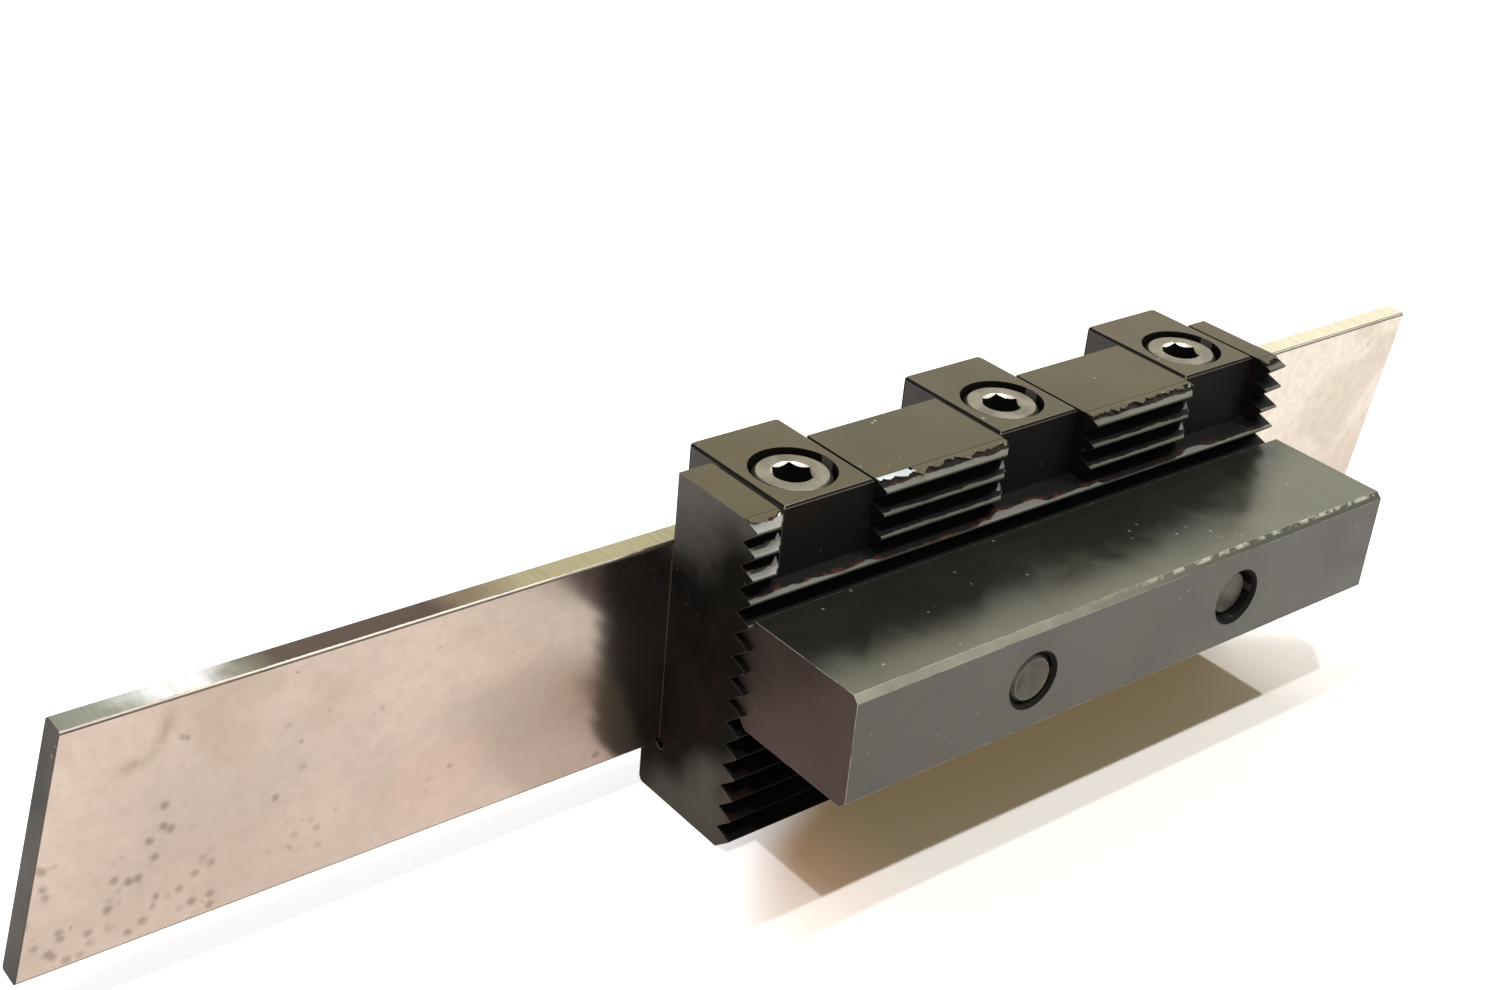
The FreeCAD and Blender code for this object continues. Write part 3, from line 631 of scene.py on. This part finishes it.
# A painted highlight: near-white steel on the rear of each socket's rim.
painted_socket_glint = make_worn("painted_socket_glint", (0.95, 0.93, 0.82), 1.1, 900.0, (0.15, 0.3))
print("screw finishes:", screw_steel.name, screw_tip_steel.name, screw_edge.name, painted_socket_glint.name)

# %% [markdown]
# Pieces are shaped with operators, which act on all that is selected. These helpers select one piece, or
# the faces of it that pass a test, and apply a modifier at once, so that its result is in the mesh.

# %% Helpers for pieces
def deselect_all():
    bpy.ops.object.select_all(action="DESELECT")


def pick(piece):
    """Makes one piece the only selected and the active one."""
    deselect_all()
    piece.select_set(True)
    bpy.context.view_layer.objects.active = piece


def select_faces(piece, test):
    """In edit mode, selects the faces whose middle and normal pass a test."""
    bpy.ops.mesh.select_all(action="DESELECT")
    bpy.ops.object.mode_set(mode="OBJECT")
    count = 0
    for face in piece.data.polygons:
        face.select = test(face.center, face.normal)
        count += face.select
    bpy.ops.object.mode_set(mode="EDIT")
    return count


def apply_modifier(piece, kind, **settings):
    pick(piece)
    modifier = piece.modifiers.new(kind.lower(), kind)
    for name, value in settings.items():
        setattr(modifier, name, value)
    bpy.ops.object.modifier_apply(modifier=modifier.name)


print("helpers for pieces ready")

# %% [markdown]
# No machined corner is a perfect line. Each solid is copied, its triangles are joined back into flat
# faces, and a small real bevel runs round every corner, so that corners catch the light from any side. The
# bevel's faces take a material slot of their own, which holds the worn finish. The copy stands for the
# solid, which stays in the model for its motion.

# %% Copies with softened corners
MERGE_DISTANCE = 0.002 * MM
FLAT_ANGLE = math.radians(0.4)
CORNER_ANGLE = math.radians(35)
SMOOTH_ANGLE = math.radians(40)
BEVEL_SLOT = 1


def soften_corners(piece, is_outer, outer_width, inner_width):
    """Bevels every corner by giving each edge a weight. The test gives 1 for the widest, 0 for the rest."""
    pick(piece)
    mesh = piece.data
    normals = {}
    for face in mesh.polygons:
        for key in face.edge_keys:
            normals.setdefault(key, []).append(face.normal.copy())
    weights = mesh.attributes.new("bevel_weight_edge", "FLOAT", "EDGE")
    for edge in mesh.edges:
        sides = normals.get(edge.key, ())
        if len(sides) == 2 and sides[0].angle(sides[1]) > CORNER_ANGLE:
            middle = (mesh.vertices[edge.vertices[0]].co + mesh.vertices[edge.vertices[1]].co) / 2
            weights.data[edge.index].value = max(is_outer(middle), inner_width / outer_width)
    apply_modifier(piece, "BEVEL", width=outer_width, segments=2, limit_method="WEIGHT",
                   use_clamp_overlap=True, material=BEVEL_SLOT)
    mesh.attributes.remove(mesh.attributes["bevel_weight_edge"])


def detailed_copy(node, materials, inner_width, outer_width=None, is_outer=None):
    """A copy of a solid with joined faces and a real bevel on its corners, that stands for the solid."""
    pick(frame["nodes"][node])
    bpy.ops.object.duplicate()
    piece = bpy.context.view_layer.objects.active
    piece.name = node + "_detailed"
    piece.parent = None
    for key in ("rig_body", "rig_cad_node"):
        del piece[key]
    piece.data.materials.clear()
    for material in materials:
        piece.data.materials.append(material)
    bpy.ops.object.mode_set(mode="EDIT")
    bpy.ops.mesh.select_all(action="SELECT")
    bpy.ops.mesh.remove_doubles(threshold=MERGE_DISTANCE)
    bpy.ops.mesh.dissolve_limited(angle_limit=FLAT_ANGLE)
    bpy.ops.object.mode_set(mode="OBJECT")
    for face in piece.data.polygons:
        face.material_index = 0
    soften_corners(piece, is_outer or (lambda middle: True), outer_width or inner_width, inner_width)
    pick(piece)
    bpy.ops.object.shade_smooth_by_angle(angle=SMOOTH_ANGLE)
    apply_modifier(piece, "WEIGHTED_NORMAL", keep_sharp=True, weight=50)
    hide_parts(node)
    print(piece.name, len(piece.data.polygons), "faces")
    return piece


print("a corner is an edge that turns by more than", round(math.degrees(CORNER_ANGLE)), "degrees")

# %% [markdown]
# Each face of a machined block was finished on its own, so faces get their finishes by where they look:
# level ones the warm satin of the top, the serrations their own rubbed skin, the rest a near-black oxide
# that is painted shade.
# A test gets a face's middle and its normal, and the faces that pass get another of the piece's materials.

# %% Faces by where they look
STRAIGHT = 0.98
TOP_BAND = 0.1 * MM


def paint_faces(piece, material, test):
    """Gives the faces that pass a test another of the piece's materials."""
    pick(piece)
    bpy.ops.object.mode_set(mode="EDIT")
    count = select_faces(piece, test)
    piece.active_material_index = piece.material_slots.find(material.name)
    bpy.ops.object.material_slot_assign()
    bpy.ops.object.mode_set(mode="OBJECT")
    print(piece.name, material.name, count, "faces")


def looks_up(middle, normal):
    return normal.z > STRAIGHT


def looks_sideways(middle, normal):
    return abs(normal.x) > STRAIGHT


print("a face looks straight up when its normal's Z is over", STRAIGHT)

# %% [markdown]
# The block is the piece with the most finishes, so its places come first: its box, the pitch and roots of
# its teeth, and small tests that say which part of the block a face belongs to. Its first tooth ends just
# under the top face and its fourth just under the slots' floor. The flanks lean forwards and look mostly
# up.

# %% Places on the block
HOLDER_LOW, HOLDER_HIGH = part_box("holder_body")
TOOTH_PITCH = 2.68 * MM
ROOT_PLANE = -10.9 * MM
LOWER_TEETH = 27 * MM
LEFT_LAND_END = -36.3 * MM
ON_OUTLINE = 0.02 * MM


def is_block_corner(middle):
    """1 on the block's outline behind the serrations, a bit less at the ends of the teeth, else 0."""
    on_end = min(middle.x - HOLDER_LOW.x, HOLDER_HIGH.x - middle.x) < ON_OUTLINE
    if middle.y < ROOT_PLANE + 0.2 * MM:
        return 0.45 if on_end and middle.y < ROOT_PLANE - 0.1 * MM else 0
    return on_end or HOLDER_HIGH.y - middle.y < ON_OUTLINE


def is_serration(middle, normal):
    return middle.y < ROOT_PLANE + 0.05 * MM and abs(normal.x) < 0.5 and not looks_up(middle, normal)


def is_upper_flank(teeth):
    """A test for the upper flanks of some of the teeth, counted from the top."""
    def test(middle, normal):
        tooth = int((HOLDER_HIGH.z - middle.z) / TOOTH_PITCH) + 1
        return tooth in teeth and normal.z > 0.85 and normal.y < -0.25 and middle.y < ROOT_PLANE
    return test


def is_left_land_flank(middle, normal):
    return is_upper_flank((1, 2, 3))(middle, normal) and middle.x < LEFT_LAND_END


def is_slot_left_rim(middle, normal):
    """The bevel at the left of a slot, which looks right."""
    return (0.2 < normal.x < STRAIGHT and middle.z > HOLDER_HIGH.z - TOP_BAND
            and middle.x < HOLDER_HIGH.x - 1 * MM)


def is_land_rim(middle, normal):
    """The bevels at the left and front of a land, behind the serrations."""
    left = -STRAIGHT < normal.x < -0.2 and middle.x > HOLDER_LOW.x + 1 * MM
    return ((left or normal.y < -0.2) and 0.2 < normal.z < STRAIGHT
            and middle.z > HOLDER_HIGH.z - TOP_BAND and middle.y > ROOT_PLANE - 0.1 * MM)


print("teeth every", round(TOOTH_PITCH / MM, 2), "mm, roots at", round(ROOT_PLANE / MM, 2), "mm")

# %% [markdown]
# The block's outer corners were broken and are rounder than the teeth, which stay crisp. Each line below
# paints over the ones before it: first the tops and ends, then all serrations, of which the ones below the
# shank get painted shade, a plain black, then the rubbed flanks, whose pale and black bands are partly
# painted light and shade. The thin bevels come last. Those at the left of each jaw get painted shade too,
# because that joint is narrow and dark.

# %% Holder body
holder = detailed_copy("holder_body", [painted_shade_oxide, edge_wear, top_oxide, tip_wear_and_shade, flank_wear_and_shade,
                                       slot_flank_wear_and_light, end_oxide_and_sheen, left_flank_wear_and_shade, tip_facet],
                       0.07 * MM, 0.35 * MM, is_block_corner)
paint_faces(holder, top_oxide, lambda middle, normal: looks_up(middle, normal)
            and middle.z > HOLDER_HIGH.z - TOP_BAND)
paint_faces(holder, end_oxide_and_sheen, lambda middle, normal: looks_sideways(middle, normal)
            and min(middle.x - HOLDER_LOW.x, HOLDER_HIGH.x - middle.x) < 0.2 * MM)
paint_faces(holder, tip_wear_and_shade, lambda middle, normal: is_serration(middle, normal)
            and middle.z > LOWER_TEETH)
# Painted shade: the teeth below the shank go near black.
paint_faces(holder, painted_shade_oxide, lambda middle, normal: is_serration(middle, normal)
            and middle.z < LOWER_TEETH)
paint_faces(holder, flank_wear_and_shade, is_upper_flank((1,)))
paint_faces(holder, left_flank_wear_and_shade, is_left_land_flank)
paint_faces(holder, slot_flank_wear_and_light, is_upper_flank((4,)))
# Painted shade in the narrow joint at the left of each jaw.
paint_faces(holder, painted_shade_oxide, is_slot_left_rim)
paint_faces(holder, top_oxide, is_land_rim)
paint_faces(holder, tip_facet, lambda middle, normal: normal.x > 0.4 and normal.y < -0.4
            and middle.y < ROOT_PLANE)
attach(holder, "holder")

# %% [markdown]
# The cutter left a torn lip along the top front edge of each land: a thin ragged plate of steel that hangs
# out over the first tooth. Each lip starts as a grid, its front row is pulled down and shaken, a Displace
# modifier makes the tear wander, and Solidify gives it the thickness that shows as a pale rim. At the left
# end of the second land, the steel is a fresh burr and still bright.

# %% Torn lips
LIP_SINK = 0.02 * MM
LIP_CELL = 0.3 * MM
FRONT_DROP = 0.06 * MM
REAR_DROP = 0.15 * MM
LIP_THICKNESS = 0.15 * MM


def pull_down(lip, is_in_row, drop):
    """In edit mode, selects a row of points by their place and pulls it down."""
    bpy.ops.mesh.select_all(action="DESELECT")
    bpy.ops.object.mode_set(mode="OBJECT")
    for vertex in lip.data.vertices:
        vertex.select = is_in_row(vertex.co)
    bpy.ops.object.mode_set(mode="EDIT")
    bpy.ops.transform.translate(value=(0, 0, -drop))


def make_lip(name, left, right, overhang, seed, finish=top_oxide):
    """A ragged plate between two places along the block that hangs out over the first tooth."""
    rows = 4
    columns = max(4, int((right - left) / LIP_CELL))
    rear = ROOT_PLANE + 0.4 * MM
    front = ROOT_PLANE - overhang
    deselect_all()
    middle = ((left + right) / 2, (rear + front) / 2, HOLDER_HIGH.z - LIP_SINK)
    bpy.ops.mesh.primitive_grid_add(x_subdivisions=columns, y_subdivisions=rows, size=1, location=middle)
    lip = bpy.context.active_object
    lip.name = name
    lip.scale = (right - left, rear - front, 1)
    bpy.ops.object.transform_apply(location=True, rotation=False, scale=True)
    lip.data.materials.append(finish)
    lip.data.materials.append(torn_rim)
    bpy.ops.object.mode_set(mode="EDIT")
    pull_down(lip, lambda place: place.y < front + 0.02 * MM, FRONT_DROP)
    bpy.ops.transform.vertex_random(offset=0.08 * MM, seed=seed)
    bpy.ops.object.vertex_group_add()
    bpy.ops.object.vertex_group_assign()
    pull_down(lip, lambda place: place.y > rear - 0.02 * MM, REAR_DROP)
    bpy.ops.object.mode_set(mode="OBJECT")
    tear = bpy.data.textures.new(name + "_tear", "CLOUDS")
    tear.noise_scale = 1.3 * MM
    apply_modifier(lip, "DISPLACE", texture=tear, direction="Y", strength=2.2 * MM, mid_level=0.5,
                   vertex_group=lip.vertex_groups[0].name, texture_coords="LOCAL")
    apply_modifier(lip, "SOLIDIFY", thickness=LIP_THICKNESS, offset=-1.0, material_offset_rim=1)
    pick(lip)
    bpy.ops.object.mode_set(mode="EDIT")
    bpy.ops.mesh.select_all(action="SELECT")
    bpy.ops.mesh.normals_make_consistent(inside=False)
    bpy.ops.object.mode_set(mode="OBJECT")
    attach(lip, "holder")
    highest = max(vertex.co.z for vertex in lip.data.vertices)
    print(name, len(lip.data.polygons), "faces, top at", round(highest / MM, 2), "mm")


make_lip("torn_lip_left", -40.3 * MM, -36.3 * MM, 0.8 * MM, 1)
make_lip("torn_lip_1", -19.0 * MM, -5.1 * MM, 0.95 * MM, 2)
make_lip("torn_lip_2", 7.8 * MM, 24.7 * MM, 0.95 * MM, 3)
make_lip("bright_burr", -23.4 * MM, -18.6 * MM, 0.85 * MM, 4, finish=burr_bright)
make_lip("torn_lip_right", 37.6 * MM, 40.3 * MM, 0.75 * MM, 5)

# %% [markdown]
# The cutter that milled the slots also pushed a little fin of steel up at the end of each tooth. A fin is a
# flattened cone whose point is drawn to the right and back, divided once and shaken. Each of the three
# upper teeth has one at the right end of each of three lands, and all nine are joined to one piece.

# %% Burr fins at the tooth ends
LAND_RIGHT_ENDS = (-36.2 * MM, -5.0 * MM, 24.8 * MM)
FIRST_TIP_DROP = 0.75 * MM
FIN_RADIUS = 0.62 * MM
FIN_POINT = 0.06 * MM
FIN_INSET = 0.80 * MM
FIN_PLANE = -12.05 * MM


def make_fin(end, tooth, seed):
    """A fin at a land's right end, on a tooth counted from the top."""
    flank = HOLDER_HIGH.z - FIRST_TIP_DROP - (tooth - 1) * TOOTH_PITCH
    height = 0.72 * MM if tooth == 1 else 1.1 * MM
    deselect_all()
    bpy.ops.mesh.primitive_cone_add(vertices=8, radius1=FIN_RADIUS, radius2=FIN_POINT, depth=height,
                                    location=(end - FIN_INSET, FIN_PLANE, flank + height / 2))
    fin = bpy.context.active_object
    fin.scale = (1.0, 0.35, 1.0)
    bpy.ops.object.transform_apply(location=True, rotation=False, scale=True)
    bpy.ops.object.mode_set(mode="EDIT")
    select_faces(fin, lambda middle, normal: normal.z > 0.9)
    bpy.ops.transform.translate(value=(0.42 * MM, 0.45 * MM, 0))
    bpy.ops.mesh.select_all(action="SELECT")
    bpy.ops.mesh.subdivide(number_cuts=1)
    bpy.ops.transform.vertex_random(offset=0.05 * MM, seed=seed)
    bpy.ops.object.mode_set(mode="OBJECT")
    return fin


fins = [make_fin(end, tooth, number * 3 + tooth)
        for number, end in enumerate(LAND_RIGHT_ENDS) for tooth in (1, 2, 3)]
deselect_all()
for fin in fins:
    fin.select_set(True)
bpy.ops.object.join()
tooth_fins = bpy.context.active_object
tooth_fins.name = "tooth_fins"
tooth_fins.data.materials.append(tip_facet)
bpy.ops.object.shade_smooth_by_angle(angle=math.radians(50))
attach(tooth_fins, "holder")
print("fins:", len(fins))

# %% [markdown]
# The shank is the same steel with brighter corners, because the tool post's screws and slot rub it. The
# rims of its two screw holes are painted black, as the shade in the gap round each screw tip.

# %% Shank
HOLE_RIM_REACH = 3.7 * MM
CHAMFER_BAND = 1.2 * MM

shank = detailed_copy("shank", [shank_front_oxide, shank_edge_wear, shank_top_oxide, shank_end_oxide,
                                chamfer_wear, painted_shade_oxide], 0.15 * MM)
paint_faces(shank, chamfer_wear, lambda middle, normal: normal.y < -0.4 and normal.z > 0.4
            and middle.z > SHANK_HIGH.z - CHAMFER_BAND)
# Painted shade: the rims round the screw tips go near black.
for number in (1, 2):
    tip_low, tip_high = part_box("shank_screw_%d" % number)
    hole = Vector(((tip_low.x + tip_high.x) / 2, 0, (tip_low.z + tip_high.z) / 2))
    paint_faces(shank, painted_shade_oxide, lambda middle, normal: abs(normal.y) < STRAIGHT
                and (Vector((middle.x, 0, middle.z)) - hole).length < HOLE_RIM_REACH)
paint_faces(shank, shank_top_oxide, looks_up)
paint_faces(shank, shank_end_oxide, looks_sideways)
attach(shank, "shank")

# %% [markdown]
# The jaws. Their fronts lean over dark serrations and are painted almost black as shade, and so are the
# walls of the counterbores. Their outer corners were broken with a file, the counterbores' were not. A
# screw's finish changes with the distance from its axis: painted shade, a black, inside the socket, a
# painted highlight on the rear of the rim, plain steel on the head, and darker steel on its flank.

# %% Jaws and their screws
COUNTERBORE_REACH = 6.5 * MM
SOCKET_REACH = 2.35 * MM
RIM_REACH = 2.75 * MM
HEAD_FACE_REACH = 3.4 * MM
SOCKET_DEPTH = 3.2 * MM
RIM_DEPTH = 0.2 * MM


def around(low, high):
    """Distance in plan from the middle of a box, as a function of a point."""
    axis = Vector(((low.x + high.x) / 2, (low.y + high.y) / 2, 0))
    return lambda point: (Vector((point.x, point.y, 0)) - axis).length


for number in (1, 2, 3):
    head_low, head_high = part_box("clamp_screw_%d" % number)
    from_axis = around(head_low, head_high)
    jaw_low, jaw_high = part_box("jaw_%d" % number)
    jaw_middle = (jaw_low.y + jaw_high.y) / 2
    jaw = detailed_copy("jaw_%d" % number, [painted_shade_oxide, edge_wear, top_oxide, end_oxide_and_sheen],
                        0.03 * MM, 0.22 * MM,
                        lambda middle: abs(middle.y - jaw_middle) > COUNTERBORE_REACH)
    paint_faces(jaw, top_oxide, looks_up)
    paint_faces(jaw, end_oxide_and_sheen, looks_sideways)
    # Painted shade: the bevel at the jaw's left, in the narrow joint, stays near black.
    paint_faces(jaw, painted_shade_oxide, lambda middle, normal: -STRAIGHT < normal.x < -0.2
                and middle.z > jaw_high.z - TOP_BAND)
    paint_faces(jaw, top_oxide, lambda middle, normal: 0.2 < normal.x < STRAIGHT
                and middle.z > jaw_high.z - TOP_BAND)
    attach(jaw, "jaw_%d" % number)
    screw = detailed_copy("clamp_screw_%d" % number, [screw_steel, screw_edge, painted_shade_oxide, painted_socket_glint,
                                                       screw_tip_steel], 0.14 * MM)
    paint_faces(screw, screw_tip_steel, lambda middle, normal: from_axis(middle) > HEAD_FACE_REACH
                and normal.z < 0.97)
    # Painted shade inside the socket, and a painted highlight on the rear of its rim.
    paint_faces(screw, painted_shade_oxide, lambda middle, normal: from_axis(middle) < SOCKET_REACH
                and head_high.z - SOCKET_DEPTH < middle.z < head_high.z - RIM_DEPTH)
    paint_faces(screw, painted_socket_glint, lambda middle, normal: from_axis(middle) < RIM_REACH
                and head_high.z - RIM_DEPTH < middle.z and normal.z < STRAIGHT and normal.y < -0.1)
    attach(screw, "clamp_screw_%d" % number)

# %% [markdown]
# The shank's two screws come from behind the blade. Only their dull tips show in the shank's front, so one
# dark steel is enough for the whole screw, with rubbed corners.

# %% Shank screws
for number in (1, 2):
    screw = detailed_copy("shank_screw_%d" % number, [screw_tip_steel, screw_edge], 0.1 * MM)
    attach(screw, "shank_screw_%d" % number)

# %% [markdown]
# The blade is one flat bar with slanted ends. Its upper edge has tarnished, its ends are scale, and a fine
# bevel on its long edges keeps them from looking like paper.

# %% Blade
blade = detailed_copy("blade", [blade_steel, blade_edge, blade_top, blade_end], 0.10 * MM)
paint_faces(blade, blade_top, looks_up)
paint_faces(blade, blade_end, lambda middle, normal: abs(normal.x) > 0.6)
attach(blade, "blade")

# %% [markdown]
# The floor is plain and white. The camera and mirrors see a glow of its own added to what the lamps give,
# which is painted light: weak and warm under the holder, where it sets the brown of the shank's shadow and
# turns lighter and pinker to its left, and stronger further away, where it paints over the other shadows
# so that the floor is plain white.

# %% Floor
SHADOW_MIDDLE = (0.006, -0.030, 0.0)
SHADOW_SPREAD = (0.62, 1.25, 0.0)
FLOOR_DROP = 0.02 * MM


def make_floor_material():
    material, tree, shader = new_material("floor_white")
    shader.inputs["Base Color"].default_value = (0.93, 0.93, 0.93, 1.0)
    shader.inputs["Roughness"].default_value = 0.9
    shader.inputs["Specular IOR Level"].default_value = 0.0
    path = add_node(tree, "ShaderNodeLightPath")
    mirrored = calculate(tree, "MAXIMUM", path.outputs["Is Glossy Ray"],
                         path.outputs["Is Transmission Ray"])
    place, across, _, _ = split_place(tree)
    from_shank = add_node(tree, "ShaderNodeVectorMath", operation="SUBTRACT")
    tree.links.new(place, from_shank.inputs[0])
    from_shank.inputs[1].default_value = SHADOW_MIDDLE
    flatten = add_node(tree, "ShaderNodeVectorMath", operation="MULTIPLY")
    tree.links.new(from_shank.outputs[0], flatten.inputs[0])
    flatten.inputs[1].default_value = SHADOW_SPREAD
    reach = add_node(tree, "ShaderNodeVectorMath", operation="LENGTH")
    tree.links.new(flatten.outputs[0], reach.inputs[0])
    far = stretch(tree, reach.outputs["Value"], 0.029, 0.038, 0.0, 1.0, smooth=True)
    for_mirrors = stretch(tree, mirrored, 0.0, 1.0, 1.0, 0.15)
    far = multiply(tree, far, for_mirrors)
    # Painted light: the warm glow that tints the shadow under the shank, lighter and pinker to its left.
    leftwards = stretch(tree, across, -0.022, -0.040, smooth=True)
    near = blend_colours(tree, leftwards, (0.132, 0.091, 0.034), (0.27, 0.140, 0.052))
    distant = stretch(tree, reach.outputs["Value"], 0.25, 1.0)
    white = blend_colours(tree, distant, (0.80, 0.80, 0.80), (0.95, 0.95, 0.95))
    tree.links.new(blend_colours(tree, far, near, white), shader.inputs["Emission Color"])
    tree.links.new(calculate(tree, "MAXIMUM", path.outputs["Is Camera Ray"], mirrored),
                   shader.inputs["Emission Strength"])
    return material


deselect_all()
bpy.ops.mesh.primitive_plane_add(size=6.0, location=(0, 0, -FLOOR_DROP))
floor = bpy.context.active_object
floor.name = "floor"
floor.data.materials.append(make_floor_material())
print("floor material:", floor.data.materials[0].name)

# %% [markdown]
# The room is plain white. The camera and mirrors see it at full strength, so that the steel has something
# pale to mirror, and it adds only a little soft light to the object.

# %% World
SKY_LIGHT = 0.13
SKY_SEEN = 1.0

world = bpy.data.worlds.new("studio")
bpy.context.scene.world = world
world.use_nodes = True
sky = world.node_tree.nodes["Background"]
path = add_node(world.node_tree, "ShaderNodeLightPath")
seen = calculate(world.node_tree, "MAXIMUM", path.outputs["Is Camera Ray"], path.outputs["Is Glossy Ray"])
seen = calculate(world.node_tree, "MAXIMUM", seen, path.outputs["Is Transmission Ray"])
strength = stretch(world.node_tree, seen, 0.0, 1.0, SKY_LIGHT, SKY_SEEN)
world.node_tree.links.new(strength, sky.inputs["Strength"])
sky.inputs["Color"].default_value = (1.0, 1.0, 1.0, 1.0)
print("room light on the object:", SKY_LIGHT)

# %% [markdown]
# Two small lamps stand high in front of the holder, one to its right and one to its left, and a long tube
# hangs nearly overhead, along the blade. Each throws a faint shadow, crisp for the small lamps and soft at
# its ends for the tube, and where all three overlap the floor turns brown.

# %% Lamps
LAMP_DISTANCE = 1.2
LAMP_WIDTH = 0.03
TUBE_LENGTH = 1.0


def add_lamp(name, direction, length, power, colour):
    """A lamp in a direction from the holder, which it faces."""
    data = bpy.data.lights.new(name, "AREA")
    data.shape = "RECTANGLE"
    data.size = length
    data.size_y = LAMP_WIDTH
    data.energy = power
    data.color = colour
    lamp = bpy.data.objects.new(name, data)
    way = Vector(direction).normalized()
    lamp.location = way * LAMP_DISTANCE
    lamp.rotation_euler = way.to_track_quat("Z", "Y").to_euler()
    bpy.context.scene.collection.objects.link(lamp)
    print(name, "at", [round(value, 2) for value in lamp.location])


add_lamp("right_lamp", (0.41, -0.335, 1.0), LAMP_WIDTH, 5.6, (1.0, 0.97, 0.93))
add_lamp("left_lamp", (-0.26, -0.335, 1.0), LAMP_WIDTH, 4.5, (0.98, 0.98, 1.0))
add_lamp("tube", (0.0, -0.10, 1.0), TUBE_LENGTH, 4.5, (1.0, 0.98, 0.97))
